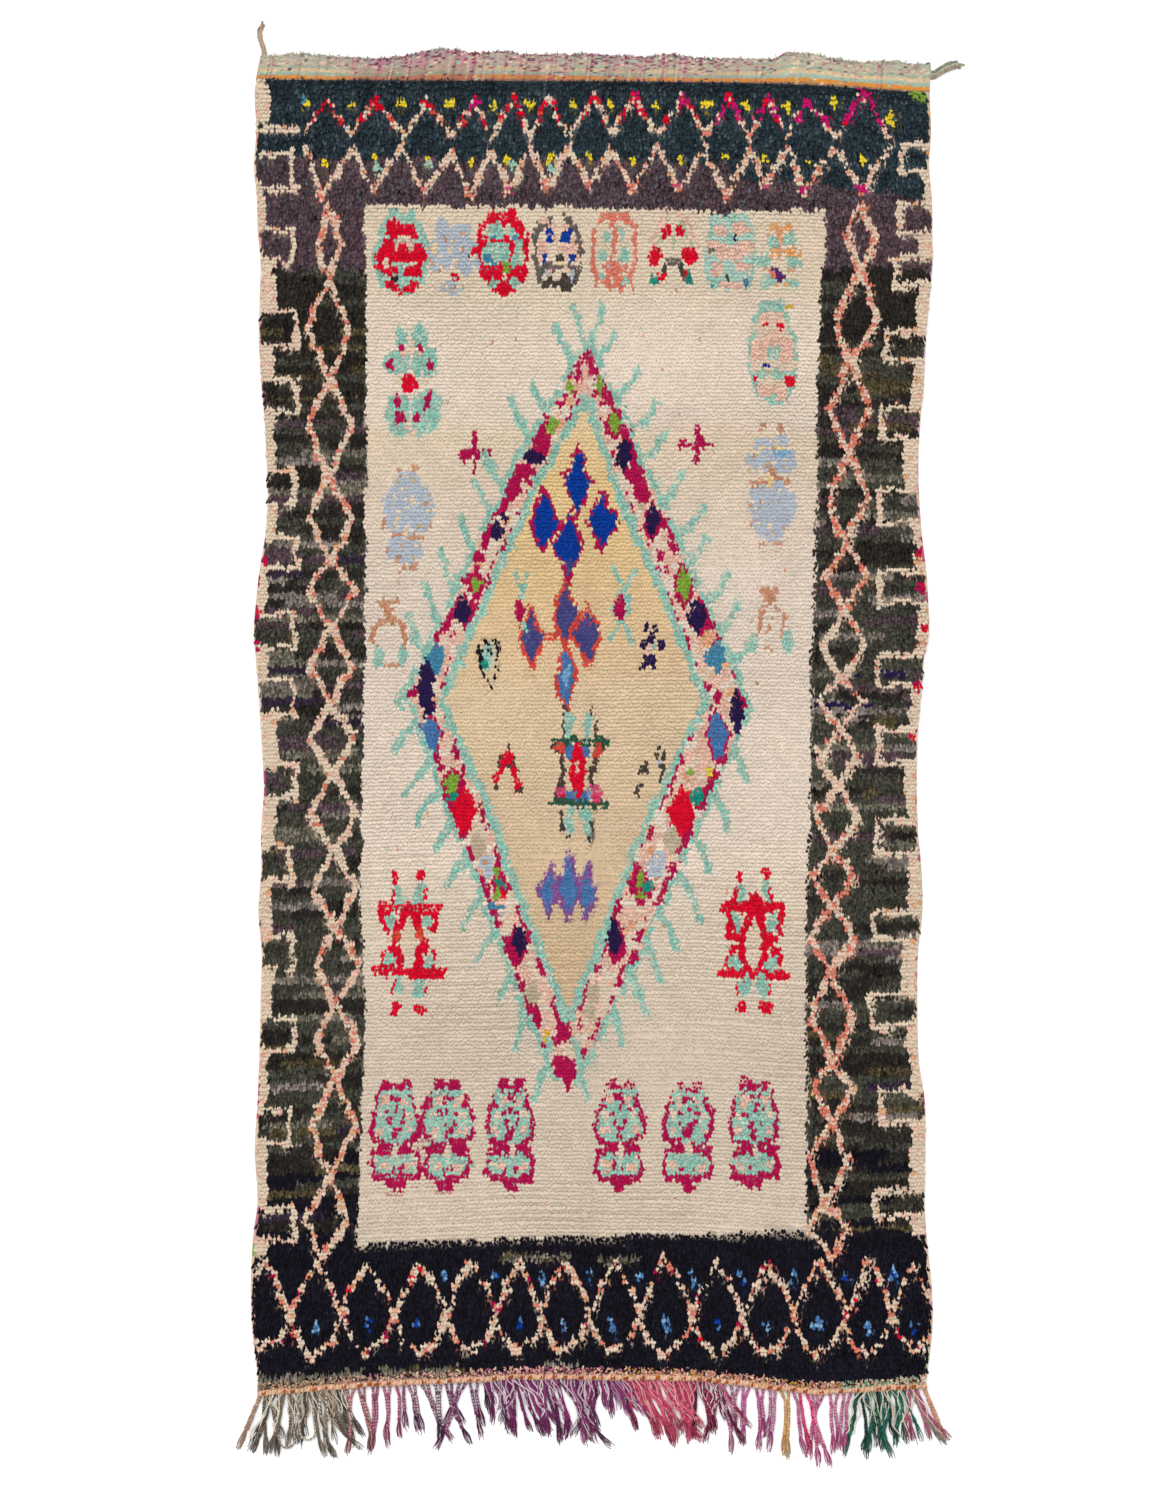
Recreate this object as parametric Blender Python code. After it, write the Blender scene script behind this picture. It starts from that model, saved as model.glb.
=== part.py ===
"""A hand-knotted rug, lying flat: one woven cloth with ribs of pile, a flat-woven heading, selvedges,
a cord twined across its foot with loose warp ends, and a tail of cords at each upper corner.

Metres, +Z up. X runs across the rug, Y from the foot to the heading, and the floor is z = 0. The tables
are in millimetres, measured from the rug's centre line and from the nominal foot line of the cloth.
"""

import math
import random
from collections import namedtuple

import bmesh
import bpy
from mathutils import Vector

MM = 0.001
PARTING = 0.3 * MM  # between pieces that touch

# The woven cloth
PILE_ROWS = 172  # rows of knots, each one a raised rib
PILE_HEIGHT = 12.5 * MM  # crest of a rib above the floor
GROOVE_DEPTH = 3.8 * MM  # between two ribs
PILE_LUMPS = 1.1 * MM  # how far the crests rise and fall over the rug
LUMP_PLACES = (9.1, 4.3, -11.7)  # radians for each metre, of the lumps across and along
CREST_PLACE = 0.36  # where a rib's crest stands in its pitch; the pile leans to the foot
ROW_WANDER = 2.5 * MM  # how far a row strays from a straight line
WANDER_PLACES = (7.0, 23.0)  # radians for each metre across, and over the rug's length
WEAVE_THICKNESS = 4.0 * MM  # flat-woven heading and foot
FOOT_DEPTH = 12.0 * MM  # flat weave between the twined cord and the first row
HEADING_STRIPES = 4
STRIPE_RELIEF = 1.3 * MM
SELVEDGE_WIDTH = 12.0 * MM
SELVEDGE_EDGE = 4.5 * MM  # its thickness at the outer edge
SELVEDGE_CROWN = 6.5 * MM  # and where the pile starts
SHOULDER = 7.0 * MM  # from the selvedge to full pile
INNER_COLUMNS = 5  # columns of points between the two shoulders
END_ROWS = 14  # rows at each end whose underside is one face, as these ends aren't straight

# The cord twined across the foot, and the warp ends below it
CORD_WIDTH = 19.0 * MM
CORD_BACK = 5.0 * MM
CORD_CROWN = 7.5 * MM
CORD_FRONT = 4.5 * MM
TWIST_RELIEF = 1.3 * MM
TWIST_SWING = 0.12  # how far the crown swings from the cord's middle, as a share of its width
STRANDS = 108
STRAND_WIDTH = 6.0 * MM
STRAND_HEIGHT = 4.2 * MM
STRAND_CROWN = 0.62  # width of a strand's top, as a share of its base
STRAND_APART = 1.3 * MM  # least room between two strands
STRAND_STATIONS = (0.030, 0.065, 0.102, 0.140, 0.185)  # distances below the cord
STRANDS_PER_STATION = 7  # strands for each point of the cloth's lower edge
LEAST_STEP = 4.0 * MM  # a tip nearer to a station than this ends there
TIP_TAPER = 0.6
CLUMP_SIZES = (2, 3, 3, 4, 5)
CLUMP_PULL = (0.10, 0.42)  # how far strands draw together, at least and at most
Lean = namedtuple("Lean", "turns slope")  # radians for each metre across, and sideways for each metre down
LEANS = (Lean(11.0, 0.10), Lean(29.0, 0.07))
SWAY = 2.2 * MM  # side to side along a strand
SWAY_TURNS = 45.0  # radians for each metre down
CORNER_LEAN = 76.0 * MM  # how far outwards the two corner strands lean at the last station

# The tails at the upper corners. An inset is from the cloth's corner to the knot, and the bends are how far
# a tail's cords stand aside from straight, at even steps from the knot to the tips
TailShape = namedtuple("TailShape", "width length height inset bends")
LEFT_TAIL = TailShape(11.0 * MM, 72.0 * MM, 4.0 * MM, 2.5 * MM, (0.004, 0.009, 0.010, 0.006, 0.004))
RIGHT_TAIL = TailShape(19.0 * MM, 70.0 * MM, 5.0 * MM, 19.0 * MM, (0.009, 0.017, 0.022, 0.024, 0.022))
TAIL_KNOT = 9.0 * MM  # length of the knot that holds a tail's cords
TAIL_CORDS = 3
TAIL_APART = 1.0 * MM
TAIL_MARGIN = 0.5 * MM  # of the knot beyond its outer cords
KNOT_RISE = 2.5 * MM  # of the knot above its cords
SHORTER_SIDES = 0.14  # how much shorter a tail's outer cords are than its middle one
SHORTER_NEXT = 0.05  # and each cord than the one before it

Side = namedtuple("Side", "along left right")
SIDES = (
    Side(0, -754, 749),
    Side(121, -767, 762),
    Side(211, -770, 762),
    Side(324, -765, 752),
    Side(414, -754, 747),
    Side(526, -760, 749),
    Side(639, -754, 747),
    Side(729, -751, 733),
    Side(864, -749, 729),
    Side(976, -747, 730),
    Side(1066, -754, 740),
    Side(1156, -747, 738),
    Side(1246, -747, 731),
    Side(1336, -740, 729),
    Side(1449, -745, 731),
    Side(1539, -751, 738),
    Side(1629, -758, 745),
    Side(1696, -763, 756),
    Side(1764, -758, 754),
    Side(1831, -751, 749),
    Side(1899, -740, 740),
    Side(1989, -733, 733),
    Side(2079, -736, 731),
    Side(2169, -740, 736),
    Side(2259, -747, 745),
    Side(2349, -751, 749),
    Side(2439, -749, 758),
    Side(2529, -747, 765),
    Side(2596, -754, 764),
    Side(2664, -756, 763),
    Side(2743, -763, 756),
    Side(2821, -758, 760),
    Side(2911, -762, 756),
    Side(2979, -748, 759),
)

Edge = namedtuple("Edge", "across along")
FOOT_EDGE = (
    Edge(-755, -8),
    Edge(-592, 6),
    Edge(-434, 17),
    Edge(-299, 21),
    Edge(-164, 30),
    Edge(16, 28),
    Edge(241, 26),
    Edge(360, 12),
    Edge(443, 1),
    Edge(500, -5),
    Edge(601, 1),
    Edge(751, 10),
)
PILE_TOP = (
    Edge(-757, 2936),
    Edge(-300, 2934),
    Edge(100, 2932),
    Edge(450, 2926),
    Edge(757, 2908),
)
HEADING_EDGE = (
    Edge(-748, 2988),
    Edge(-648, 2992),
    Edge(-513, 2983),
    Edge(-423, 2988),
    Edge(-378, 2999),
    Edge(-333, 3004),
    Edge(-266, 2995),
    Edge(-198, 2999),
    Edge(-153, 2992),
    Edge(4, 2992),
    Edge(117, 2986),
    Edge(162, 2992),
    Edge(252, 2983),
    Edge(409, 2983),
    Edge(432, 2995),
    Edge(477, 2995),
    Edge(544, 2983),
    Edge(589, 2974),
    Edge(679, 2977),
    Edge(724, 2970),
    Edge(759, 2974),
)

Reach = namedtuple("Reach", "across reach")
FRINGE_REACH = (
    Reach(-757, 105),
    Reach(-738, 126),
    Reach(-693, 130),
    Reach(-670, 99),
    Reach(-625, 151),
    Reach(-580, 92),
    Reach(-535, 151),
    Reach(-490, 144),
    Reach(-423, 104),
    Reach(-333, 137),
    Reach(-310, 60),
    Reach(-288, 142),
    Reach(-243, 65),
    Reach(-220, 112),
    Reach(-130, 133),
    Reach(-40, 155),
    Reach(4, 45),
    Reach(27, 72),
    Reach(94, 133),
    Reach(139, 142),
    Reach(229, 128),
    Reach(252, 97),
    Reach(297, 157),
    Reach(319, 70),
    Reach(364, 142),
    Reach(387, 92),
    Reach(432, 162),
    Reach(477, 106),
    Reach(499, 169),
    Reach(544, 126),
    Reach(634, 144),
    Reach(702, 117),
    Reach(752, 115),
)

Look = namedtuple("Look", "colour roughness")
LOOKS = {
    "rug": Look((0.50, 0.40, 0.30), 0.95),
    "fringe": Look((0.25, 0.11, 0.16), 0.92),
    "corner_tail_left": Look((0.52, 0.30, 0.22), 0.92),
    "corner_tail_right": Look((0.55, 0.34, 0.28), 0.92),
}


def mix(a, b, share):
    return a + (b - a) * share


def curve(table, column, at):
    """The smooth curve through one column of a table, at a value of its first column."""
    keys = [row[0] for row in table]
    values = [getattr(row, column) for row in table]
    last = len(keys) - 1
    span = min(max(sum(key <= at for key in keys) - 1, 0), last - 1)
    share = min(max((at - keys[span]) / (keys[span + 1] - keys[span]), 0.0), 1.0)
    before, start, end, after = (values[min(max(span + k, 0), last)] for k in (-1, 0, 1, 2))
    slope_in = (end - before) / 2
    slope_out = (after - start) / 2
    bend_in = 2 * (start - end) + slope_in + slope_out
    bend_out = 3 * (end - start) - 2 * slope_in - slope_out
    return ((bend_in * share + bend_out) * share + slope_in) * share + start


def straight(table, column, at):
    """The broken line through one column of a table, at a value of its first column."""
    for low, high in zip(table, table[1:]):
        if at <= high[0]:
            share = max((at - low[0]) / (high[0] - low[0]), 0.0)
            return mix(getattr(low, column), getattr(high, column), share)
    return getattr(table[-1], column)


def strand_roots():
    """The middles of the strands' roots along the cord, in metres, a little uneven."""
    jitter = random.Random(31)
    low = FOOT_EDGE[0].across * MM + STRAND_WIDTH
    high = FOOT_EDGE[-1].across * MM - STRAND_WIDTH
    pitch = (high - low) / (STRANDS - 1)
    stray = (pitch - STRAND_WIDTH - STRAND_APART) / 2.4
    roots = [low + pitch * k + jitter.uniform(-stray, stray) for k in range(STRANDS)]
    roots[0], roots[-1] = low, high
    return roots


ROOTS = strand_roots()


def foot_stations():
    """The points of the cloth's lower edge. Each stands at a root, so that the cord fits it exactly."""
    chosen = range(STRANDS_PER_STATION, STRANDS - STRANDS_PER_STATION // 2, STRANDS_PER_STATION)
    marks = [ROOTS[k] - STRAND_WIDTH / 2 for k in chosen]
    across = [FOOT_EDGE[0].across * MM, *marks, FOOT_EDGE[-1].across * MM]
    return [Edge(x, curve(FOOT_EDGE, "along", x / MM) * MM) for x in across]


FOOT_POINTS = foot_stations()


def foot_line(x):
    return straight(FOOT_POINTS, "along", x)


def pile_top_line(x):
    return curve(PILE_TOP, "along", x / MM) * MM


def heading_line(x):
    return curve(HEADING_EDGE, "along", x / MM) * MM


def side(which, y):
    return curve(SIDES, which, y / MM) * MM


def pile_line(x, share):
    """How far up the rug a row lies at x. The first rows follow the foot and the last the heading."""
    low = foot_line(x) + FOOT_DEPTH
    high = pile_top_line(x)
    middle_low = foot_line(0.0) * 0.5 + FOOT_DEPTH
    middle_high = pile_top_line(0.0)
    bent = (low - middle_low) * (1 - share) ** 3 + (high - middle_high) * share**3
    across, along = WANDER_PLACES
    wander = ROW_WANDER * math.sin(across * x + along * share) * math.sin(math.pi * share)
    return mix(middle_low, middle_high, share) + bent + wander


def lumps(x, y):
    broad, long, skew = LUMP_PLACES
    return PILE_LUMPS * (math.sin(broad * x + long * y) + math.sin(long * x + skew * y)) / 2


def ends_of(line):
    """Where a row that runs along a line meets the cloth's two sides."""
    return tuple(side(which, line(side(which, line(0.0)))) for which in ("left", "right"))


def pile_row(share, height):
    """One row of the pile's upper points: selvedge, shoulder, pile, shoulder, selvedge."""

    def line(x):
        return pile_line(x, share)

    left, right = ends_of(line)
    inset = SELVEDGE_WIDTH + SHOULDER
    points = [(left, SELVEDGE_EDGE), (left + SELVEDGE_WIDTH, SELVEDGE_CROWN), (left + inset, height)]
    for column in range(1, INNER_COLUMNS + 1):
        points.append((mix(left + inset, right - inset, column / (INNER_COLUMNS + 1)), height))
    points += [(right - inset, height), (right - SELVEDGE_WIDTH, SELVEDGE_CROWN), (right, SELVEDGE_EDGE)]
    return [
        Vector((x, line(x), z + (lumps(x, line(x)) if z == height else 0.0))) for x, z in points
    ]


def heading_row(share, height):
    """One row of the heading's upper points, which stand at the points of its uneven edge."""

    def line(x):
        return mix(pile_top_line(x), heading_line(x), share)

    left, right = ends_of(line)
    inner = [(point.across * MM, height) for point in HEADING_EDGE[1:-1]]
    points = [(left, WEAVE_THICKNESS), *inner, (right, WEAVE_THICKNESS)]
    return [Vector((x, line(x), z)) for x, z in points]


def cloth_rows():
    """All rows of the upper face, from the lower edge to the heading's edge."""
    rows = [[Vector((point.across, point.along, WEAVE_THICKNESS)) for point in FOOT_POINTS]]
    for rib in range(PILE_ROWS):
        for place, drop in ((0.0, GROOVE_DEPTH), (CREST_PLACE, 0.0)):
            rows.append(pile_row((rib + place) / PILE_ROWS, PILE_HEIGHT - drop))
    steps = 2 * HEADING_STRIPES
    for step in range(steps + 1):
        rows.append(heading_row(step / steps, WEAVE_THICKNESS + STRIPE_RELIEF * (step % 2)))
    return rows


def bridge(mesh, lower, upper):
    """Fills the strip between two rows that run left to right, whose numbers of points may differ."""
    if len(lower) == len(upper):
        for k in range(len(lower) - 1):
            mesh.faces.new((lower[k], lower[k + 1], upper[k + 1], upper[k]))
        return
    low = high = 0
    while low < len(lower) - 1 or high < len(upper) - 1:
        low_next = lower[low + 1].co.x if low < len(lower) - 1 else math.inf
        high_next = upper[high + 1].co.x if high < len(upper) - 1 else math.inf
        if low_next <= high_next:
            mesh.faces.new((lower[low], lower[low + 1], upper[high]))
            low += 1
        else:
            mesh.faces.new((lower[low], upper[high + 1], upper[high]))
            high += 1


def finish(mesh, name):
    """Makes the object of a closed mesh, with its own material."""
    bmesh.ops.recalc_face_normals(mesh, faces=mesh.faces)
    data = bpy.data.meshes.new(name)
    mesh.to_mesh(data)
    mesh.free()
    material = bpy.data.materials.new(name)
    material.use_nodes = True
    shader = material.node_tree.nodes["Principled BSDF"]
    shader.inputs["Base Color"].default_value = (*LOOKS[name].colour, 1.0)
    shader.inputs["Roughness"].default_value = LOOKS[name].roughness
    shader.inputs["Metallic"].default_value = 0.0
    data.materials.append(material)
    made = bpy.data.objects.new(name, data)
    bpy.context.scene.collection.objects.link(made)
    return made


def end_underside(mesh, rows):
    """One flat face under the rows at an end, from the end's own row, which comes first, to the last."""
    lefts = [row[0] for row in rows[1:]]
    rights = [row[-1] for row in rows[1:]]
    mesh.faces.new((*rows[0], *rights, *reversed(lefts)))


def rug():
    """The whole cloth: its ribbed upper face, its flat underside, and the walls between them."""
    mesh = bmesh.new()
    rows = [[mesh.verts.new(point) for point in row] for row in cloth_rows()]
    under = []
    for k, row in enumerate(rows):
        ring = row if k in (0, len(rows) - 1) else (row[0], row[-1])
        under.append([mesh.verts.new((vert.co.x, vert.co.y, 0.0)) for vert in ring])
    for k in range(len(rows) - 1):
        bridge(mesh, rows[k], rows[k + 1])
        if END_ROWS <= k < len(rows) - 1 - END_ROWS:
            bridge(mesh, under[k], under[k + 1])
        for end in (0, -1):
            mesh.faces.new((under[k][end], rows[k][end], rows[k + 1][end], under[k + 1][end]))
    end_underside(mesh, under[: END_ROWS + 1])
    end_underside(mesh, under[: -END_ROWS - 2 : -1])
    for k in (0, -1):
        bridge(mesh, under[k], rows[k])
    return finish(mesh, "rug")


def backing_ring(mesh, x, back, front, crown, twist):
    """One cross-section of the cord that holds strands: two points on the floor and three above."""
    ridge = mix(back, front, 0.5 + TWIST_SWING * twist)
    return [
        mesh.verts.new(point)
        for point in (
            (x, back, 0.0),
            (x, back, CORD_BACK),
            (x, ridge, crown + TWIST_RELIEF * twist / 2),
            (x, front, CORD_FRONT),
            (x, front, 0.0),
        )
    ]


def strand(mesh, root, path, width, height):
    """Carries a strand from its root's four points along a path on the floor, and closes its tip."""
    ring = root
    for k, (x, y) in enumerate(path):
        size = mix(1.0, TIP_TAPER, (k + 1) / len(path))
        half = width * size / 2
        flat = half * STRAND_CROWN
        top = height * size
        corners = ((x - half, y, 0.0), (x + half, y, 0.0), (x + flat, y, top), (x - flat, y, top))
        following = [mesh.verts.new(corner) for corner in corners]
        for wall in range(4):
            beside = (wall + 1) % 4
            mesh.faces.new((ring[wall], ring[beside], following[beside], following[wall]))
        ring = following
    mesh.faces.new(ring)


def fringed_cord(mesh, middles, paths, width, height, back, front, crown, ends):
    """A cord with a strand at each of its middles, all one closed body."""
    half = width / 2
    stations = [ends[0], *(x + step for x in middles for step in (-half, half)), ends[1]]
    twists = [(-1, 1)[(k // 2) % 2] for k in range(len(stations))]
    rings = [
        backing_ring(mesh, x, back(x), front(x), crown, twist) for x, twist in zip(stations, twists)
    ]
    for k, (ring, beside) in enumerate(zip(rings, rings[1:])):
        for wall in range(5):
            following = (wall + 1) % 5
            if wall == 3 and k % 2:
                root = (ring[4], beside[4], beside[3], ring[3])
                strand(mesh, root, paths[k // 2], width, height)
            else:
                mesh.faces.new((ring[wall], ring[following], beside[following], beside[wall]))
    mesh.faces.new(rings[0])
    mesh.faces.new(rings[-1])


def spread_apart(places, least):
    """Moves places apart until each stands at least so far beyond the one before."""
    for _ in range(40):
        for k in range(len(places) - 1):
            short = least - (places[k + 1] - places[k])
            if short > 0:
                places[k] -= short / 2
                places[k + 1] += short / 2
    return places


def strand_places():
    """Where each strand lies at each station below the cord: in clumps that lean this way and that."""
    jitter = random.Random(8)
    clumps = []
    while len(clumps) < STRANDS:
        size = jitter.choice(CLUMP_SIZES)
        clumps += [len(clumps) + (size - 1) / 2] * size
    pull = [jitter.uniform(*CLUMP_PULL) for _ in ROOTS]
    rows = []
    for distance in STRAND_STATIONS:
        share = distance / STRAND_STATIONS[-1]
        places = []
        for k, root in enumerate(ROOTS):
            clump = ROOTS[min(int(clumps[k]), STRANDS - 1)]
            slope = sum(lean.slope * math.sin(lean.turns * root) for lean in LEANS)
            sway = SWAY * math.sin(SWAY_TURNS * distance + LEANS[-1].turns * root)
            places.append(mix(root, clump, pull[k] * share) + slope * distance + sway)
        places[0] = ROOTS[0] - CORNER_LEAN * share
        places[-1] = ROOTS[-1] + CORNER_LEAN * share
        rows.append(spread_apart(places, STRAND_WIDTH + STRAND_APART))
    return rows


def path_to(reach, stations, start):
    """A strand's points from its root to its own reach. A station is a distance and a place across."""
    path = []
    before = stations[0]
    for here in stations[1:]:
        if reach <= here[0] + LEAST_STEP:
            share = (reach - before[0]) / (here[0] - before[0])
            path.append((mix(before[1], here[1], share), start - reach))
            return path
        path.append((here[1], start - here[0]))
        before = here
    return path


def fringe():
    """The cord twined across the foot, with the warp ends that hang from it."""
    jitter = random.Random(5)
    places = strand_places()

    def back(x):
        return foot_line(x) - PARTING

    def front(x):
        return back(x) - CORD_WIDTH

    paths = []
    for k, root in enumerate(ROOTS):
        reach = straight(FRINGE_REACH, "reach", root / MM) * MM * jitter.uniform(0.90, 1.04)
        stations = [(0.0, root), *((far, row[k]) for far, row in zip(STRAND_STATIONS, places))]
        paths.append(path_to(reach, stations, front(root)))
    mesh = bmesh.new()
    ends = (FOOT_POINTS[0].across, FOOT_POINTS[-1].across)
    fringed_cord(mesh, ROOTS, paths, STRAND_WIDTH, STRAND_HEIGHT, back, front, CORD_CROWN, ends)
    return finish(mesh, "fringe")


def tail(name, shape):
    """A knot with a few cords, made with its back at y = 0 and its cords towards -Y."""
    mesh = bmesh.new()
    pitch = shape.width / TAIL_CORDS
    width = pitch - TAIL_APART
    middles = [pitch * (k - (TAIL_CORDS - 1) / 2) for k in range(TAIL_CORDS)]
    paths = []
    for k, middle in enumerate(middles):
        length = shape.length * (1.0 - SHORTER_SIDES * abs(k - 1) - SHORTER_NEXT * k)
        step = shape.length / len(shape.bends)
        bends = [(step * count, middle + bend) for count, bend in enumerate(shape.bends, 1)]
        paths.append(path_to(length, [(0.0, middle), *bends], -TAIL_KNOT))
    ends = (-shape.width / 2 - TAIL_MARGIN, shape.width / 2 + TAIL_MARGIN)
    fringed_cord(
        mesh,
        middles,
        paths,
        width,
        shape.height,
        lambda x: 0.0,
        lambda x: -TAIL_KNOT,
        shape.height + KNOT_RISE,
        ends,
    )
    return finish(mesh, name)


def place_tails():
    """Sets the left tail on the heading's edge and the right one on its side, each parted from it."""
    left = tail("corner_tail_left", LEFT_TAIL)
    reach = LEFT_TAIL.width / 2 + TAIL_MARGIN
    x = HEADING_EDGE[0].across * MM + reach + LEFT_TAIL.inset
    edge = max(heading_line(x - reach), heading_line(x + reach))
    left.rotation_euler.z = math.pi
    left.location = (x, edge + PARTING, 0.0)
    right = tail("corner_tail_right", RIGHT_TAIL)
    reach = RIGHT_TAIL.width / 2 + TAIL_MARGIN
    y = HEADING_EDGE[-1].along * MM - reach - RIGHT_TAIL.inset
    edge = max(side("right", y - reach), side("right", y), side("right", y + reach))
    right.rotation_euler.z = math.pi / 2
    right.location = (edge + PARTING, y, 0.0)
    return [left, right]


def centre(pieces):
    """Moves all pieces so that the middle of their box stands over the origin."""
    bpy.context.view_layer.update()
    corners = [piece.matrix_world @ vert.co for piece in pieces for vert in piece.data.vertices]
    middle_x = (min(c.x for c in corners) + max(c.x for c in corners)) / 2
    middle_y = (min(c.y for c in corners) + max(c.y for c in corners)) / 2
    for piece in pieces:
        piece.location.x -= middle_x
        piece.location.y -= middle_y


def main():
    for old in list(bpy.data.objects):
        bpy.data.objects.remove(old, do_unlink=True)
    centre([rug(), fringe(), *place_tails()])


main()
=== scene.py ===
# A hand-knotted Berber rug of wool and mixed yarn, laid flat on the floor.
# It is drawn from the rug's centre line and the foot line of its cloth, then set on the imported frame.
import math
import random

import bpy
import numpy as np
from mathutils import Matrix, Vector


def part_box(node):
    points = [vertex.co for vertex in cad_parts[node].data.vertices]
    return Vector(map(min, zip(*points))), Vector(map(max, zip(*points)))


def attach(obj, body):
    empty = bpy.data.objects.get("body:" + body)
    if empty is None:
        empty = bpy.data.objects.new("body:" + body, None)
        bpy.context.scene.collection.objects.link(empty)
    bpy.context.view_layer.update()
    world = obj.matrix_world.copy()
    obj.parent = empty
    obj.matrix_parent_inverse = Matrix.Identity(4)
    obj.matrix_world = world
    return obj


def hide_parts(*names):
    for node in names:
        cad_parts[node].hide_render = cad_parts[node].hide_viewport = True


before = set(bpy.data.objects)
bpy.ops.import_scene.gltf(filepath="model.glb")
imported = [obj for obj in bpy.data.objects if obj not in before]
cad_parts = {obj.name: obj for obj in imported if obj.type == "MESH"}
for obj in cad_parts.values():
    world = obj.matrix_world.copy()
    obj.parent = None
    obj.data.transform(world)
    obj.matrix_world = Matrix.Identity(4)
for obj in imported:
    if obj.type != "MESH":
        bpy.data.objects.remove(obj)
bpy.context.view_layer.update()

mm = 0.001

# Sizes that the solids and this script share, in metres
cloth = {
    "rows": 172,  # of knots
    "parting": 0.3 * mm,  # between the cloth and what is fastened to its edges
    "pileLumps": 1.1 * mm,  # the soft rise and fall of the pile
    "lumpPlaces": (9.1, 4.3, -11.7),
    "rowWander": 2.5 * mm,  # how far a row strays from straight
    "wanderPlaces": (7.0, 23.0),
    "footDepth": 12.0 * mm,  # flat-woven foot below the pile
    "selvedgeWidth": 12.0 * mm,
    "flat": (1.50, 2.99),
}
# along, left edge, right edge, in mm
sideTable = (
    (0, -754, 749), (121, -767, 762), (211, -770, 762), (324, -765, 752), (414, -754, 747),
    (526, -760, 749), (639, -754, 747), (729, -751, 733), (864, -749, 729), (976, -747, 730),
    (1066, -754, 740), (1156, -747, 738), (1246, -747, 731), (1336, -740, 729), (1449, -745, 731),
    (1539, -751, 738), (1629, -758, 745), (1696, -763, 756), (1764, -758, 754), (1831, -751, 749),
    (1899, -740, 740), (1989, -733, 733), (2079, -736, 731), (2169, -740, 736), (2259, -747, 745),
    (2349, -751, 749), (2439, -749, 758), (2529, -747, 765), (2596, -754, 764), (2664, -756, 763),
    (2743, -763, 756), (2821, -758, 760), (2911, -762, 756), (2979, -748, 759),
)
# across, along, in mm
footEdge = (
    (-755, -8), (-592, 6), (-434, 17), (-299, 21), (-164, 30), (16, 28),
    (241, 26), (360, 12), (443, 1), (500, -5), (601, 1), (751, 10),
)
pileTop = ((-757, 2936), (-300, 2934), (100, 2932), (450, 2926), (757, 2908))
headingEdge = (
    (-748, 2988), (-648, 2992), (-513, 2983), (-423, 2988), (-378, 2999), (-333, 3004), (-266, 2995),
    (-198, 2999), (-153, 2992), (4, 2992), (117, 2986), (162, 2992), (252, 2983), (409, 2983),
    (432, 2995), (477, 2995), (544, 2983), (589, 2974), (679, 2977), (724, 2970), (759, 2974),
)


def linearColour(hexValue):
    parts = [int(hexValue[k:k + 2], 16) / 255 for k in (1, 3, 5)]
    return [part / 12.92 if part <= 0.04045 else ((part + 0.055) / 1.055) ** 2.4 for part in parts]


def mix(a, b, share):
    return a + (b - a) * share


def smoothCurve(table, column, at):
    keys = np.array([row[0] for row in table]) * mm
    values = np.array([row[column] for row in table]) * mm
    last = len(keys) - 1
    at = np.asarray(at, dtype=float)
    span = np.clip(np.searchsorted(keys, at, side="right") - 1, 0, last - 1)
    share = np.clip((at - keys[span]) / (keys[span + 1] - keys[span]), 0.0, 1.0)
    before, start, end, after = (values[np.clip(span + k, 0, last)] for k in (-1, 0, 1, 2))
    slopeIn = (end - before) / 2
    slopeOut = (after - start) / 2
    bendIn = 2 * (start - end) + slopeIn + slopeOut
    bendOut = 3 * (end - start) - 2 * slopeIn - slopeOut
    return ((bendIn * share + bendOut) * share + slopeIn) * share + start


# The fringe's strands, whose roots also set the points of the cloth's lower edge
fringe = {
    "strands": 108,
    "width": 6.0 * mm,
    "apart": 1.3 * mm,
    "stations": (0.030, 0.065, 0.102, 0.140, 0.185),  # distances below the cord where strands bend
    "perStation": 7,  # strands from one point of the cloth's edge to the next
    "leastStep": 4.0 * mm,
    "clumpSizes": (2, 3, 3, 4, 5),
    "clumpPull": (0.10, 0.42),
    "leans": ((11.0, 0.10), (29.0, 0.07)),
    "sway": 2.2 * mm,
    "swayTurns": 45.0,
    "cornerLean": 76.0 * mm,
    "cordWidth": 19.0 * mm,
    "reach": (  # across, reach below the cord, in mm
        (-757, 105), (-738, 126), (-693, 130), (-670, 99), (-625, 151), (-580, 92), (-535, 151),
        (-490, 144), (-423, 104), (-333, 137), (-310, 60), (-288, 142), (-243, 65), (-220, 112),
        (-130, 133), (-40, 155), (4, 45), (27, 72), (94, 133), (139, 142), (229, 128), (252, 97),
        (297, 157), (319, 70), (364, 142), (387, 92), (432, 162), (477, 106), (499, 169),
        (544, 126), (634, 144), (702, 117), (752, 115),
    ),
}


def strandRoots():
    jitter = random.Random(31)
    low = footEdge[0][0] * mm + fringe["width"]
    high = footEdge[-1][0] * mm - fringe["width"]
    pitch = (high - low) / (fringe["strands"] - 1)
    stray = (pitch - fringe["width"] - fringe["apart"]) / 2.4
    roots = [low + pitch * k + jitter.uniform(-stray, stray) for k in range(fringe["strands"])]
    roots[0], roots[-1] = low, high
    return roots


roots = strandRoots()
perStation = fringe["perStation"]
chosenRoots = range(perStation, fringe["strands"] - perStation // 2, perStation)
footXs = np.array([
    footEdge[0][0] * mm,
    *(roots[k] - fringe["width"] / 2 for k in chosenRoots),
    footEdge[-1][0] * mm,
])
footYs = smoothCurve(footEdge, 1, footXs)


def footLine(x):
    return np.interp(x, footXs, footYs)


def pileTopLine(x):
    return smoothCurve(pileTop, 1, x)


def headingLine(x):
    return smoothCurve(headingEdge, 1, x)


def sideLine(which, y):
    return smoothCurve(sideTable, {"left": 1, "right": 2}[which], y)


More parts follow.
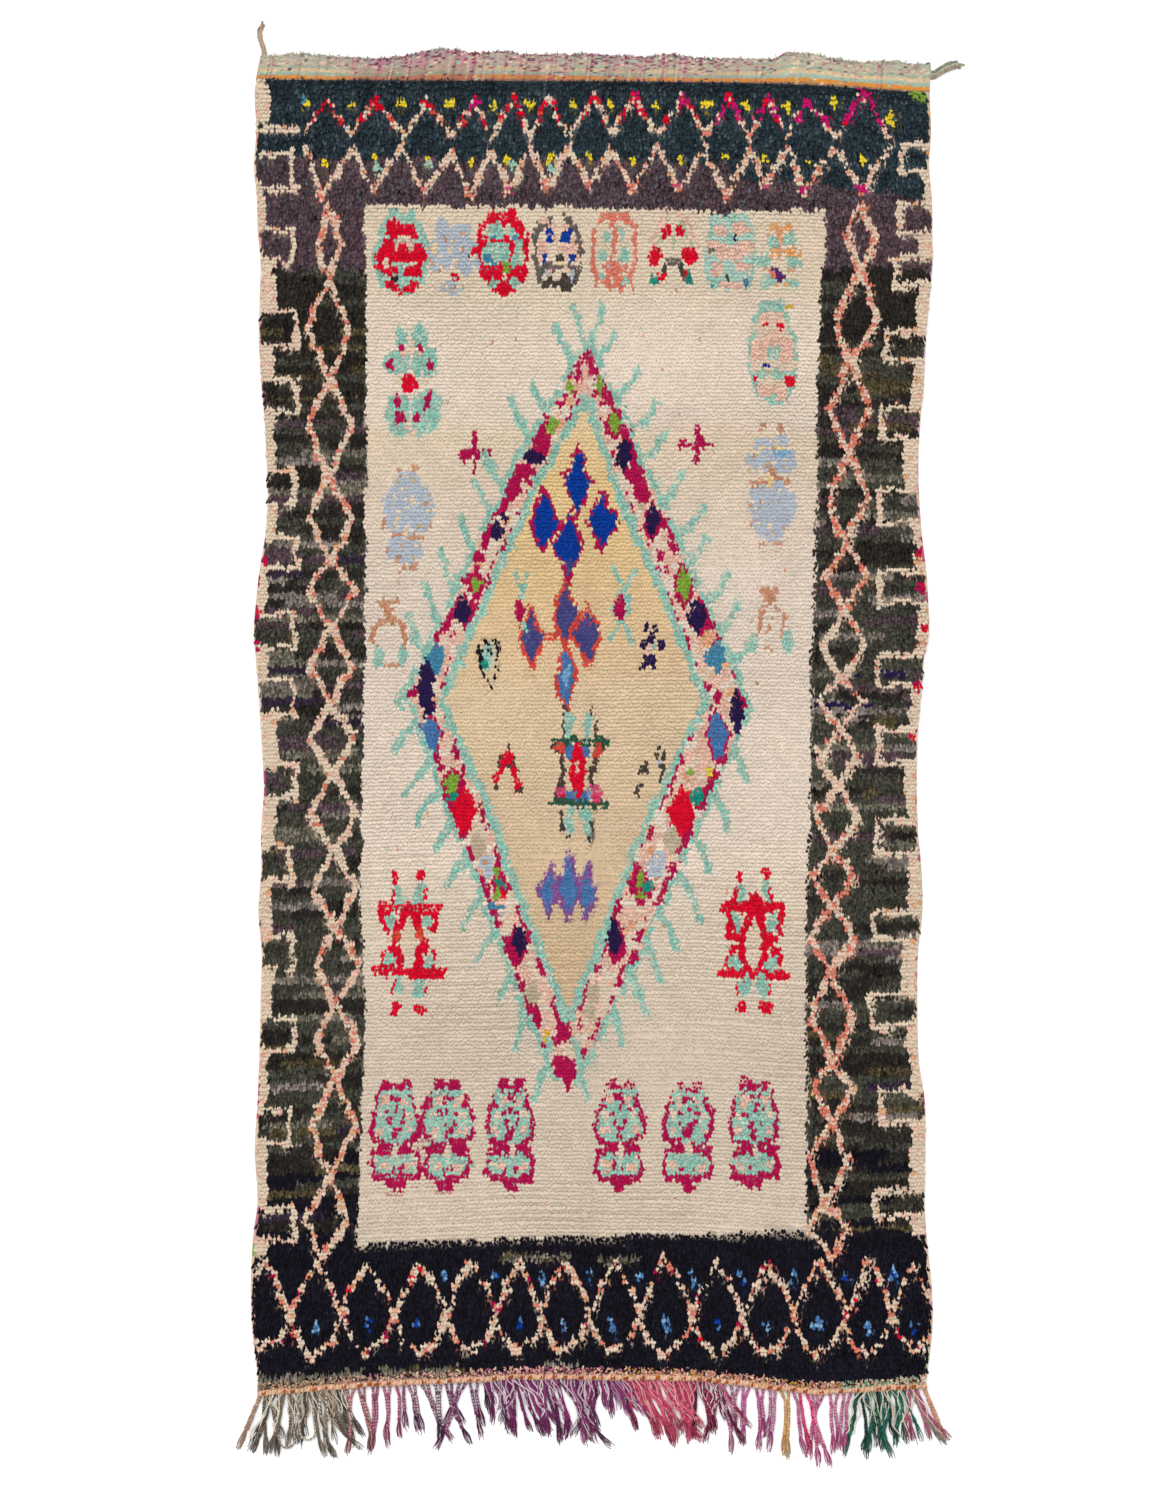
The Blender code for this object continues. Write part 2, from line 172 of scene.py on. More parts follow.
def pileLine(x, share):
    low = footLine(x) + cloth["footDepth"]
    high = pileTopLine(x)
    middleLow = footLine(0.0) * 0.5 + cloth["footDepth"]
    middleHigh = pileTopLine(0.0)
    bent = (low - middleLow) * (1 - share) ** 3 + (high - middleHigh) * share ** 3
    across, along = cloth["wanderPlaces"]
    wander = cloth["rowWander"] * np.sin(across * x + along * share) * np.sin(math.pi * share)
    return mix(middleLow, middleHigh, share) + bent + wander


def lumps(x, y):
    broad, long, skew = cloth["lumpPlaces"]
    return cloth["pileLumps"] * (np.sin(broad * x + long * y) + np.sin(long * x + skew * y)) / 2


def rowEnds(share):
    middle = pileLine(0.0, share)
    left = sideLine("left", pileLine(sideLine("left", middle), share))
    right = sideLine("right", pileLine(sideLine("right", middle), share))
    return left, right


# Where the drawing stands in the frame
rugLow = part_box("rug")[0]
sideSamples = np.linspace(0, sideTable[-1][0] * mm, 4000)
centreX = rugLow[0] - float(sideLine("left", sideSamples).min())
footY = rugLow[1] - footEdge[0][1] * mm
print("frame loaded, centre line at", round(centreX, 4), "foot line at", round(footY, 4))


# Meshes and materials
def makePiece(name, points, faces, colours=None, materials=(), faceMaterials=None):
    points = np.asarray(points, dtype=float).reshape(-1, 3) + (centreX, footY, 0.0)
    faces = [np.asarray(group, dtype=np.int32) for group in faces if len(group)]
    corners = np.concatenate([group.ravel() for group in faces])
    counts = np.concatenate([np.full(len(group), group.shape[1]) for group in faces])
    mesh = bpy.data.meshes.new(name)
    mesh.vertices.add(len(points))
    mesh.vertices.foreach_set("co", points.astype(np.float32).ravel())
    mesh.loops.add(len(corners))
    mesh.loops.foreach_set("vertex_index", corners)
    mesh.polygons.add(len(counts))
    mesh.polygons.foreach_set("loop_start", np.concatenate(([0], np.cumsum(counts)[:-1])).astype(np.int32))
    if faceMaterials is not None:
        mesh.polygons.foreach_set("material_index", np.asarray(faceMaterials, dtype=np.int32))
    mesh.update(calc_edges=True)
    mesh.shade_smooth()
    if colours is not None:
        attribute = mesh.color_attributes.new("yarnColour", "FLOAT_COLOR", "POINT")
        full = np.ones((len(points), 4), dtype=np.float32)
        full[:, :3] = np.clip(np.asarray(colours).reshape(-1, 3), 0.0, 1.0)
        attribute.data.foreach_set("color", full.ravel())
    layer = mesh.uv_layers.new(name="OFBake")
    low, high = points.min(axis=0), points.max(axis=0)
    flat = (points[corners, :2] - low[:2]) / (high[:2] - low[:2]).max()
    layer.data.foreach_set("uv", flat.astype(np.float32).ravel())
    for material in materials:
        mesh.materials.append(material)
    piece = bpy.data.objects.new(name, mesh)
    bpy.context.scene.collection.objects.link(piece)
    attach(piece, "root")
    return piece


def addNode(tree, kind, settings=None, inputs=None):
    node = tree.nodes.new(kind)
    for key, value in (settings or {}).items():
        setattr(node, key, value)
    for key, value in (inputs or {}).items():
        if isinstance(value, bpy.types.NodeSocket):
            tree.links.new(value, node.inputs[key])
        else:
            node.inputs[key].default_value = value
    return node


def yarnMaterial(name, look):
    material = bpy.data.materials.new(name)
    material.use_nodes = True
    tree = material.node_tree
    shader = tree.nodes["Principled BSDF"]
    shader.inputs["Roughness"].default_value = look["roughness"]
    shader.inputs["IOR"].default_value = look["ior"]
    shader.inputs["Specular IOR Level"].default_value = look["gloss"]
    shader.inputs["Sheen Weight"].default_value = look["sheen"]
    shader.inputs["Sheen Roughness"].default_value = look["sheenRoughness"]
    place = addNode(tree, "ShaderNodeTexCoord").outputs["Object"]
    stretched = addNode(tree, "ShaderNodeMapping", None, {"Vector": place, "Scale": look["stretch"]})
    fibre = addNode(tree, "ShaderNodeTexNoise", None, {
        "Vector": stretched.outputs[0],
        "Scale": 1 / look["fibre"],
        "Detail": 3.0,
        "Roughness": 0.6,
    })
    heather = addNode(tree, "ShaderNodeTexNoise", None, {
        "Vector": place,
        "Scale": 1 / look["heather"],
        "Detail": 2.0,
    })
    yarn = addNode(tree, "ShaderNodeAttribute", {"attribute_name": "yarnColour"}).outputs["Color"]
    tones = ((fibre.outputs[0], look["contrast"]), (heather.outputs[0], look["patchiness"]))
    light, patch = (
        addNode(tree, "ShaderNodeMapRange", None, {0: noise, 1: 0.3, 2: 0.7, 3: 1 - amount, 4: 1 + amount})
        for noise, amount in tones
    )
    both = addNode(tree, "ShaderNodeMath", {"operation": "MULTIPLY"}, {
        0: light.outputs[0], 1: patch.outputs[0],
    })
    coloured = addNode(tree, "ShaderNodeVectorMath", {"operation": "SCALE"}, {
        0: yarn, "Scale": both.outputs[0],
    })
    tree.links.new(coloured.outputs[0], shader.inputs["Base Color"])
    bump = addNode(tree, "ShaderNodeBump", None, {
        "Height": fibre.outputs[0], "Strength": look["bump"], "Distance": look["fibre"] * 0.5,
    })
    tree.links.new(bump.outputs[0], shader.inputs["Normal"])
    return material


# Handspun wool, cut as pile: its fibres scatter light in every direction, so next to no gloss is left, only
# the faint pale rim of loose fibres. Real ones are 0.03 mm wide, too fine to show, so they are drawn 1.3 mm
woolLook = {
    "roughness": 0.92, "ior": 1.45, "gloss": 0.10, "sheen": 0.06, "sheenRoughness": 0.5,
    "stretch": (1.0, 0.45, 1.0), "fibre": 1.3 * mm, "contrast": 0.16,
    "heather": 22 * mm, "patchiness": 0.05, "bump": 0.55,
}
# Dyed rag yarn is smoother, so its colour stays deeper
ragLook = {**woolLook, "roughness": 0.85, "gloss": 0.05, "sheen": 0.0, "contrast": 0.14}
# Plied warp yarn, twisted hard, so its fibres lie flat along the strand and are drawn finer
pliedLook = {**woolLook, "roughness": 0.85, "sheen": 0.05, "stretch": (1.0, 0.25, 1.0), "fibre": 0.9 * mm}
# Flat weave, its weft beaten down hard: fine threads that run across the rug
weaveLook = {**woolLook, "sheen": 0.05, "stretch": (0.2, 1.0, 1.0), "fibre": 1.0 * mm, "contrast": 0.20}

creamWool = yarnMaterial("creamHandspunWool", woolLook)
darkWool = yarnMaterial("darkHandspunWool", {**woolLook, "gloss": 0.06, "sheen": 0.03, "contrast": 0.22})
ragYarn = yarnMaterial("dyedRagYarn", ragLook)
pliedYarn = yarnMaterial("pliedWarpYarn", pliedLook)
flatWeave = yarnMaterial("beatenWeft", weaveLook)
print("materials made")

# The yarns of the chart
yarns = {
    "cream": "#DCCAB5", "yellow": "#DBBE94", "wool": "#D9C4AC", "pink": "#E2B8A4",
    "paleGreen": "#B4BD9E", "salmon": "#DA7C68", "peach": "#DCA27C", "orange": "#D5883C",
    "redOrange": "#D2483A", "crimson": "#D80A2C", "magenta": "#AE134B", "rose": "#CC4A72",
    "mint": "#8ABFAF", "paleMint": "#A9C6B8", "teal": "#1F8A78", "green": "#7EA33C",
    "deepGreen": "#2A5540", "steel": "#4482A0", "royal": "#083A94", "blue": "#4A74A8",
    "skyBlue": "#7CA6C8", "purpleBlue": "#48487F", "violet": "#84508C", "purple": "#5C2A66",
    "lavender": "#AEB5BF", "navy": "#281B45", "tan": "#C48C6C", "tanGrey": "#B9A88F",
    "yellowBright": "#E4C932", "yellowDeep": "#D4AC34", "greyBrown": "#665C57", "umber": "#4A403A",
    "blackNavy": "#16141E", "tealCharcoal": "#2A373E", "aubergine": "#55444A", "olive": "#434239",
    "oliveBlack": "#2D2925", "oliveBrown": "#544A34", "greyOlive": "#6F6A5C", "streakGrey": "#80766E",
    "plumBlack": "#34283A", "hotPink": "#C6146A", "apricot": "#E4A262",
}
yarnNames = list(yarns)
yarnColours = np.array([linearColour(yarns[name]) for name in yarnNames])
darkNames = (
    "blackNavy", "tealCharcoal", "aubergine", "olive", "oliveBlack", "oliveBrown", "greyOlive",
    "streakGrey", "plumBlack",
)
creamNames = ("cream", "yellow", "wool", "lavender", "paleMint", "tanGrey")

# The pile lies to the foot, each row of yarn ends over the next one. The chart is drawn on what shows
pile = {
    "rows": 2 * cloth["rows"] - 1,  # rows of ends, two to a row of knots
    "columns": 252,
    "stagger": 0.28,  # columns that every other row lies to the side
    "reach": 19.5 * mm,
    "seen": 13.5 * mm,  # from an end's root to the middle of what shows of it
    "root": 6.4 * mm,  # height of the root, and of the widest part
    "belly": 10.4 * mm,
    # for ends of cream, dark and dyed yarn
    "tips": (11.2 * mm, 11.3 * mm, 11.2 * mm),  # height of the tip
    "halves": (4.3 * mm, 3.6 * mm, 4.0 * mm),  # half width
    "bellyAt": (0.66, 0.80, 0.74),  # place of the widest part
    "flatness": (0.30, 0.42, 0.36),
    "paintedShadeStrength": (0.2, 1.0, 0.7),  # how strongly the painted shade below shows
    "wild": (0.7, 2.0, 1.1),  # how far they stray from their row
    "paintedShade": (0.34, 0.0, 0.16, 0.20, 0.16, 0.06),  # painted shade: darkening of the root, top, sides, underside and tip, where less light reaches
    "rowDip": 1.3 * mm,  # how far the lines between rows, and the crease, lie below the rest
    "creaseDip": 1.2 * mm,
    "rowLineShadow": 0.42,  # painted shadow on the tips in the lines between rows
    "firstRoot": 0.0062,
    "lastRoot": 0.9988,
}
draw = np.random.default_rng(20)
rows, columns = pile["rows"], pile["columns"]
rowNumbers = np.arange(rows)[:, None] + np.zeros((1, columns), dtype=int)
rootShares = mix(pile["firstRoot"], pile["lastRoot"], np.arange(rows) / (rows - 1))
leftEnds, rightEnds = rowEnds(rootShares)
inset = cloth["selvedgeWidth"] * 0.45
stagger = np.where(np.arange(rows) % 2, pile["stagger"], -pile["stagger"])[:, None]
columnShares = (np.arange(columns)[None, :] + 0.5 + stagger) / columns
rootX = mix((leftEnds + inset)[:, None], (rightEnds - inset)[:, None], columnShares)
rootY = pileLine(rootX, rootShares[:, None])


def softNoise(tall, wide, amount):
    # Soft hills and hollows, each about so many rows tall and columns wide
    small = draw.normal(0.0, 1.0, (rows // tall + 3, columns // wide + 3))
    rowAt = np.linspace(0, small.shape[0] - 1.001, rows)
    columnAt = np.linspace(0, small.shape[1] - 1.001, columns)
    row, column = rowAt.astype(int), columnAt.astype(int)
    columnShare = (columnAt - column)[None, :]
    here = mix(small[row][:, column], small[row][:, column + 1], columnShare)
    following = mix(small[row + 1][:, column], small[row + 1][:, column + 1], columnShare)
    return mix(here, following, (rowAt - row)[:, None]) * amount


def runs(tall, wide):
    # One random number for each short run of ends
    small = draw.random((rows // tall + 2, columns // wide + 3))
    shift = draw.integers(0, wide, rows // tall + 2)
    row = np.arange(rows) // tall
    column = (np.arange(columns)[None, :] + shift[row][:, None]) // wide
    return small[row[:, None], column]


# Each end's place on the chart in mm, with the unevenness of single knots, of threes and of broad swells
acrossAt = rootX / mm + draw.normal(0, 0.9, rootX.shape) + softNoise(2, 3, 3.6) + softNoise(6, 8, 2.6)
alongAt = (rootY - pile["seen"]) / mm + draw.normal(0, 1.4, rootX.shape)
alongAt += softNoise(2, 3, 4.2)
alongAt += softNoise(7, 9, 2.4)
chart = np.full((rows, columns), yarnNames.index("cream"))


def isYarn(*names):
    return np.isin(chart, [yarnNames.index(name) for name in names])


def paint(mask, yarn):
    chart[mask] = yarnNames.index(yarn)


def paintMixed(mask, shares, tall=1, wide=3):
    names = list(shares)
    steps = np.cumsum([shares[name] for name in names])
    picked = np.searchsorted(steps / steps[-1], runs(tall, wide), side="right")
    lookup = np.array([yarnNames.index(name) for name in names])
    chart[mask] = lookup[np.clip(picked, 0, len(names) - 1)][mask]


def pen(x0, y0, x1, y1, halfAcross, halfAlong):
    # The ends that a pen touches on its way from one point to the other
    awayX, awayY = (acrossAt - x0) / halfAcross, (alongAt - y0) / halfAlong
    lineX, lineY = (x1 - x0) / halfAcross, (y1 - y0) / halfAlong
    share = np.clip((awayX * lineX + awayY * lineY) / max(lineX * lineX + lineY * lineY, 1e-9), 0, 1)
    return np.hypot(awayX - share * lineX, awayY - share * lineY) <= 1.0


def blob(x, y, halfWidth, halfHeight):
    return np.hypot((acrossAt - x) / halfWidth, (alongAt - y) / halfHeight) <= 1.0


def lozenge(x, y, halfWidth, halfHeight):
    return np.abs(acrossAt - x) / halfWidth + np.abs(alongAt - y) / halfHeight <= 1.0


def tableAt(table, at, column=1):
    return np.interp(at, [row[0] for row in table], [row[column] for row in table])


# Field and borders. Bands of the dark wool run right across, as each lot of yarn was used up
field = {
    "sides": (
        (340, -528, 479), (600, -520, 479), (860, -512, 478), (1100, -521, 479), (1400, -520, 487),
        (1700, -511, 490), (2050, -511, 502), (2300, -509, 505), (2460, -508, 513), (2640, -514, 524),
    ),
    "foot": ((-530, 318), (0, 334), (480, 346)),
    "top": ((-530, 2650), (0, 2645), (300, 2634), (530, 2640)),
    # along, colour: the cream changes a little from lot to lot
    "cream": (
        (340, "#D6C5B1"), (720, "#D2C1AE"), (1040, "#DAC9B5"), (1200, "#E3D2C1"), (1800, "#DCCBBB"),
        (2020, "#DBC8B3"), (2130, "#DBC8AE"), (2180, "#DFCEBC"), (2330, "#E5D3C1"), (2420, "#DFCDB9"),
        (2460, "#DCCAB2"), (2640, "#DAC7AF"),
    ),
    "yellow": (
        (830, "#CCB08D"), (1000, "#CEB391"), (1250, "#D5BB9B"), (1560, "#DBC2A0"), (1640, "#DBBD97"),
        (1900, "#DDBE8C"), (2040, "#E2C28C"), (2170, "#E3C79B"),
    ),
    # along, how plainly the lines between rows of knots show, as dips in the pile and as painted shade
    "rowLines": (
        (320, 0.75), (440, 0.7), (520, 0.35), (700, 0.5), (1080, 0.6), (1300, 0.28), (2000, 0.2),
        (2200, 0.08), (2640, 0.06),
    ),
}
# The edges of the field are knotted straighter than its figures
edgeX = mix(rootX / mm, acrossAt, 0.6)
edgeY = mix((rootY - pile["seen"]) / mm, alongAt, 0.45)
inField = (edgeX > tableAt(field["sides"], edgeY, 1)) & (edgeX < tableAt(field["sides"], edgeY, 2))
inField &= (edgeY < tableAt(field["top"], edgeX)) & (edgeY > tableAt(field["foot"], edgeX))

borderBands = (  # from, to, yarns with their shares, ends in a run
    (-50, 345, {"blackNavy": 1}, 14),
    (345, 530, {"blackNavy": 5, "plumBlack": 0.4, "olive": 3, "oliveBlack": 3, "oliveBrown": 0.8}, 30),
    (530, 900, {
        "olive": 9, "oliveBlack": 5, "greyOlive": 1.4, "plumBlack": 0.3, "streakGrey": 0.8,
        "oliveBrown": 0.8,
    }, 26),
    (900, 1500, {
        "olive": 12, "oliveBlack": 4, "streakGrey": 1.8, "plumBlack": 0.3, "aubergine": 1.4,
        "greyOlive": 1.2,
    }, 30),
    (1500, 2130, {
        "olive": 9, "oliveBlack": 5, "streakGrey": 2.6, "plumBlack": 0.4, "aubergine": 2, "greyOlive": 2,
    }, 25),
    (2130, 2215, {"olive": 5, "oliveBlack": 5, "aubergine": 3, "oliveBrown": 1}, 25),
    (2215, 2340, {"oliveBlack": 6, "oliveBrown": 4, "olive": 4}, 20),
    (2340, 2510, {"oliveBlack": 14, "olive": 2, "oliveBrown": 0.6}, 22),
    (2510, 2990, {"aubergine": 15, "plumBlack": 0.12, "streakGrey": 0.3}, 18),
)
for low, high, shares, wide in borderBands:
    paintMixed((alongAt >= low) & (alongAt < high) & ~inField, shares, 2, wide)
# across, along: above this edge the dark wool is teal
tealEdge = ((-760, 2760), (200, 2750), (300, 2738), (330, 2708), (500, 2702), (540, 2690), (760, 2664))
paintMixed(alongAt > tableAt(tealEdge, acrossAt), {"tealCharcoal": 1}, 2, 9)
oliveAtFoot = pen(-190, 288, -55, 288, 8, 9) | pen(15, 282, 95, 280, 8, 8) | pen(-100, 44, -40, 44, 8, 9)
oliveAtFoot |= (alongAt < tableAt(footEdge, acrossAt) + 24) & (acrossAt < -290)
oliveMix = {"greyOlive": 4, "streakGrey": 1, "oliveBrown": 1, "blackNavy": 0.6}
paintMixed(oliveAtFoot & ~inField, oliveMix, 1, 8)

# Lozenge chains of the two cross borders, drawn freehand, so their pitch wanders
warmArms = {"crimson": 4.6, "redOrange": 0.8, "salmon": 0.8, "pink": 2.2, "wool": 2.0}
pinkArms = {"hotPink": 7, "rose": 1.4, "crimson": 0.8, "salmon": 0.6, "pink": 2, "wool": 0.8}
creamArms = {"wool": 6, "pink": 4, "salmon": 0.6, "peach": 1.4}
mixedArms = {"wool": 8, "pink": 4, "salmon": 2.4, "peach": 2, "crimson": 0.35, "magenta": 0.5}
topChain = {
    "peaks": (-601, -484, -371, -268, -182, -99, -5, 90, 200, 304, 394, 482, 608),  # across
    "ends": (-648, 668),
    "peak": 2889, "pinch": 2808, "parted": 2778, "valley": 2676,  # along
    "dots": (2878, 2752),  # along, of the yellow dots between and inside the lozenges
    # lozenges counted from the left
    "pinkTops": (3, 7, 8, 11, 12),
    "pinkArmsFrom": 9,
    "pinkFeetFrom": 11,
    "mintInside": (1, 2, 4, 5),
}
footChain = {
    "peaks": (-740, -623, -506, -387, -275, -164, -65, 47, 164, 279, 391, 511, 623, 722),
    "ends": (-790, 775),
    "peak": 276, "pinch": 153, "valley": 66,
    "dots": (243, 133),
    "blueDotsFrom": 4,
    "royalInside": (2, 3, 5, 9, 13),
    "plainInside": (0, 4),
}


def paintArm(x0, y0, x1, y1, shares, halfAcross=6.0, halfAlong=8.0, kept=1.0):
    paintMixed(pen(x0, y0, x1, y1, halfAcross, halfAlong) & (runs(1, 2) < kept), shares, 1, 2)


def pinches(chain):
    # Where the lozenges meet: halfway between peaks, and at the chain's ends
    peaks = chain["peaks"]
    return (chain["ends"][0], *((a + b) / 2 for a, b in zip(peaks, peaks[1:])), chain["ends"][1])


sides = pinches(topChain)
for k, x in enumerate(topChain["peaks"]):
    left, right = sides[k], sides[k + 1]
    peak, pinch = topChain["peak"] + draw.normal(0, 6), topChain["pinch"] + draw.normal(0, 6)
    parted, valley = topChain["parted"] + draw.normal(0, 6), topChain["valley"] + draw.normal(0, 8)
    upper = pinkArms if k >= topChain["pinkArmsFrom"] else warmArms
    for side in (left, right):
        knee, kneeY = mix(x, side, 0.62), mix(peak, pinch, 0.62)
        paintArm(knee, kneeY, side, pinch, creamArms, 5.2, 6.5, 0.8)
        paintArm(x, peak, knee, kneeY, upper, 6.0, 7.5, 0.8)
        knee, kneeY = mix(side, x - 8, 0.55), mix(parted, valley, 0.5)
        paintArm(side, parted, knee, kneeY, creamArms, 5.8, 7, 0.88)
        paintArm(knee, kneeY, x - 8, valley, creamArms, 6.4, 7, 0.92)
    topYarn = "hotPink" if k in topChain["pinkTops"] else "crimson"
    paint(blob(x + 2, peak - 7, 11, 8) & (runs(1, 1) < 0.8), topYarn)
    paintMixed(lozenge(x - 8, valley + 8, 12, 16), {"salmon": 2, "rose": 0.6, "pink": 3}, 1, 2)
    if k >= topChain["pinkFeetFrom"]:
        paint(blob(x - 8, valley + 10, 10, 10), "hotPink")
    upperDot, lowerDot = topChain["dots"]
    upper = blob(left + draw.uniform(-6, 6), upperDot, draw.uniform(9, 13), draw.uniform(9, 11))
    paint(upper, "yellowBright")
    paint(blob(x - 4 + draw.uniform(-5, 5), lowerDot + draw.uniform(-4, 8), 7, 9), "yellowBright")
    if k in topChain["mintInside"]:
        paint(blob(x + 4, lowerDot - 14, 9, 9), "mint")
paint(blob(672, 2842, 9, 16), "yellowBright")
paint(pen(708, 2904, 748, 2884, 6, 7), "green")
paint(blob(746, 2783, 7, 8), "orange")
paint(blob(-652, 2886, 7, 6), "steel")

sides = pinches(footChain)
for k, x in enumerate(footChain["peaks"]):
    peak, pinch = footChain["peak"] + draw.normal(0, 7), footChain["pinch"] + draw.normal(0, 5)
    valley = footChain["valley"] + draw.normal(0, 6)
    for side in (sides[k], sides[k + 1]):
        knee = mix(x, side, 0.5) + np.sign(side - x) * draw.uniform(4, 12)
        kneeY = mix(peak, pinch, 0.5)
        low, lowY = mix(side, x, 0.35), mix(pinch, valley, 0.6)
        paintArm(x, peak, knee, kneeY, mixedArms, 5.2, 6.5, 0.84)
        paintArm(knee, kneeY, side, pinch, mixedArms, 5.2, 6.5, 0.84)
        paintArm(side, pinch, low, lowY, mixedArms, 5.2, 6.5, 0.84)
        paintArm(low, lowY, x - 8, valley, mixedArms, 5.6, 6.5, 0.84)
    upperDot, lowerDot = footChain["dots"]
    if k >= footChain["blueDotsFrom"]:
        blues = {"blue": 3, "skyBlue": 1.6, "royal": 0.7, "blackNavy": 2}
        paintMixed(blob(sides[k], upperDot, 7, 15), blues, 1, 1)
    inside = {"blue": 3, "skyBlue": 1.8, "blackNavy": 2}
    if k in footChain["royalInside"]:
        inside = {"royal": 2, "blue": 1, "blackNavy": 2}
    if k not in footChain["plainInside"]:
        paintMixed(blob(x + draw.uniform(-6, 6), lowerDot, 10, 15), inside, 1, 1)

# Lozenge chains of the side borders, counted in rows of knots from the top
knotRow = 16.9  # mm from one row of knots to the next
sideChains = (
    {
        "rows": (10, 13, 13, 11, 9, 10, 10, 10, 10, 10, 10, 13, 11),  # of knots in each lozenge
        "start": 2650,
        "half": 49,  # of a lozenge's width
        "first": 0.55,  # the first lozenge's width beside the others
        "centre": ((286, -610), (470, -590), (700, -577), (1030, -578), (1400, -588), (2650, -594)),
        "creamOnes": range(6, 9),
        "salmon": 1.8,  # its share in the others
    },
    {
        "rows": (9, 12, 12, 12, 9, 9, 7, 7, 9, 7, 9, 12, 8, 11, 7),
        "start": 2653,
        "half": 47,
        "first": 0.8,
        "centre": (
            (290, 532), (410, 524), (680, 540), (940, 535), (1350, 549), (1750, 565), (2100, 573),
            (2320, 580), (2490, 607), (2650, 601),
        ),
        "creamOnes": range(5, 9),
        "salmon": 5.5,
    },
)
# Short bars of dark yarn that lie under the right chain
paintMixed(pen(493, 1525, 623, 1525, 5, 5) | pen(594, 1597, 706, 1597, 5, 8), {"navy": 4, "olive": 1}, 1, 9)
paintMixed(pen(640, 1490, 676, 1490, 8, 14) | pen(610, 1330, 636, 1330, 8, 12), {"oliveBrown": 1}, 1, 9)
for chain in sideChains:
    y = chain["start"]
    for k, count in enumerate(chain["rows"]):
        low = y - count * knotRow
        middle = (y + low) / 2 + draw.normal(0, 5)
        shares = {"salmon": chain["salmon"], "pink": 5, "wool": 4, "peach": 1.2}
        if k in chain["creamOnes"]:
            shares = {"wool": 7, "pink": 3, "salmon": 0.8}
        xTop, xMiddle, xLow = (float(tableAt(chain["centre"], at)) for at in (y, middle, low))
        half = chain["half"] * (1 + draw.normal(0, 0.06)) * (1 if k else chain["first"])
        for way in (-1, 1):
            wide = draw.uniform(5.6, 7.4)
            paintArm(xTop + way * 2, y, xMiddle + way * half, middle, shares, wide, 9)
            paintArm(xMiddle + way * half, middle, xLow + way * 2, low, shares, wide, 9)
        y = low

# Battlement lines along both sides, also counted in rows from the top
combs = (
    {
        "outer": "left",
        "inner": ((0, -676), (3000, -668)),
        "rows": (10, 11, 9, 12, 9, 10, 9, 11, 11, 12, 11, 12, 13, 6),  # from one block to the next
        "block": 4.6,  # rows in a dark block
        "start": 2765,
        "first": 2822,  # a bar above the first block
    },
    {
        "outer": "right",
        "inner": (
            (370, 637), (600, 643), (820, 623), (1030, 634), (1650, 639), (1970, 644), (2320, 655),
            (2500, 677), (2640, 691), (2790, 698),
        ),
        "rows": (8, 7, 10, 10, 11, 11, 11, 10, 12, 12, 11, 13, 13, 6),
        "block": 4.2,
        "start": 2788,
        "first": 0,
    },
)
combYarns = {"wool": 12, "pink": 2.2, "peach": 0.6}


def edgeAt(which, along):
    return float(sideLine(which, along * mm)) / mm


paintMixed(pen(-748, 2915, -744, 2850, 17, 12), {"wool": 8, "pink": 3, "peach": 2}, 2, 4)
for comb in combs:
    way = -1 if comb["outer"] == "left" else 1
    y = comb["start"]
    if comb["first"]:
        edge = edgeAt(comb["outer"], y)
        paintArm(edge, comb["first"], float(tableAt(comb["inner"], y)), comb["first"], combYarns, 7, 7)
    for count in comb["rows"]:
        low = y - comb["block"] * knotRow + draw.normal(0, 5)
        following = y - count * knotRow
        inner = float(tableAt(comb["inner"], (y + low) / 2)) + draw.normal(0, 4)
        lowEdge = edgeAt(comb["outer"], low)
        paintArm(edgeAt(comb["outer"], y), y, inner, y, combYarns, 6, 5.4)
        paintArm(inner, y, inner, low, combYarns, 5.6, 8)
        paintArm(inner, low, lowEdge, low, combYarns, 6, 5.4)
        if following > 280:
            wide = draw.uniform(12, 22)
            inset = way * wide * 0.7
            nextEdge = edgeAt(comb["outer"], following)
            paintArm(lowEdge - inset, low, nextEdge - inset, following, combYarns, wide, 9)
        y = following
edgeBlots = {"left": (1852, 1739, 1663), "right": (1876, 1793, 1699, 1573, 1460)}  # along
for which, places in edgeBlots.items():
    for y in places:
        paintMixed(blob(edgeAt(which, y), y, 22, 13), {"crimson": 2, "magenta": 2, "wool": 0.5}, 1, 3)
print("borders charted")


# Figures of the field. After each yarn come its shapes, in mm from the figure's own middle: a patch is
# (x, y, half width, half height) and a stroke (x0, y0, x1, y1, half width). Pairs are mirrored
def paintFigure(figure):
    x, y = figure["at"]
    if "ring" in figure:
        # an oval with a ring of another yarn, which is kept only here and there where its share is low
        yarn, fill, halfWidth, halfHeight, kept = figure["ring"]
        up = (alongAt - y) / halfHeight
        halfWidth = halfWidth * (1 - figure.get("taper", 0.0) * np.clip(up, -1, 1))
        body = (np.abs(acrossAt - x) / halfWidth) ** 2.3 + np.abs(up) ** 2.6
        paint(body <= 1, fill)
        paint((body <= 1) & (body > 0.62) & (runs(1, 2) < kept), yarn)
    for ways, groups in (((-1, 1), figure.get("pairs", ())), ((1,), figure.get("alone", ()))):
        drawn = [(yarn, shape, way) for yarn, *shapes in groups for shape in shapes for way in ways]
        for yarn, shape, way in drawn:
            strayX, strayY = draw.normal(0, 1.4, 2)
            across = way * figure.get("wide", 1.0)
            start = (x + across * shape[0] + strayX, y + shape[1] + strayY)
            if len(shape) == 4:
                grow = 1 + draw.normal(0, 0.06)
                mask = blob(*start, shape[2] * grow, shape[3] * grow)
            else:
                end = (x + across * shape[2] + strayX, y + shape[3] + strayY)
                mask = pen(*start, *end, shape[4], shape[4] + 1.5)
            paint(mask, yarn)


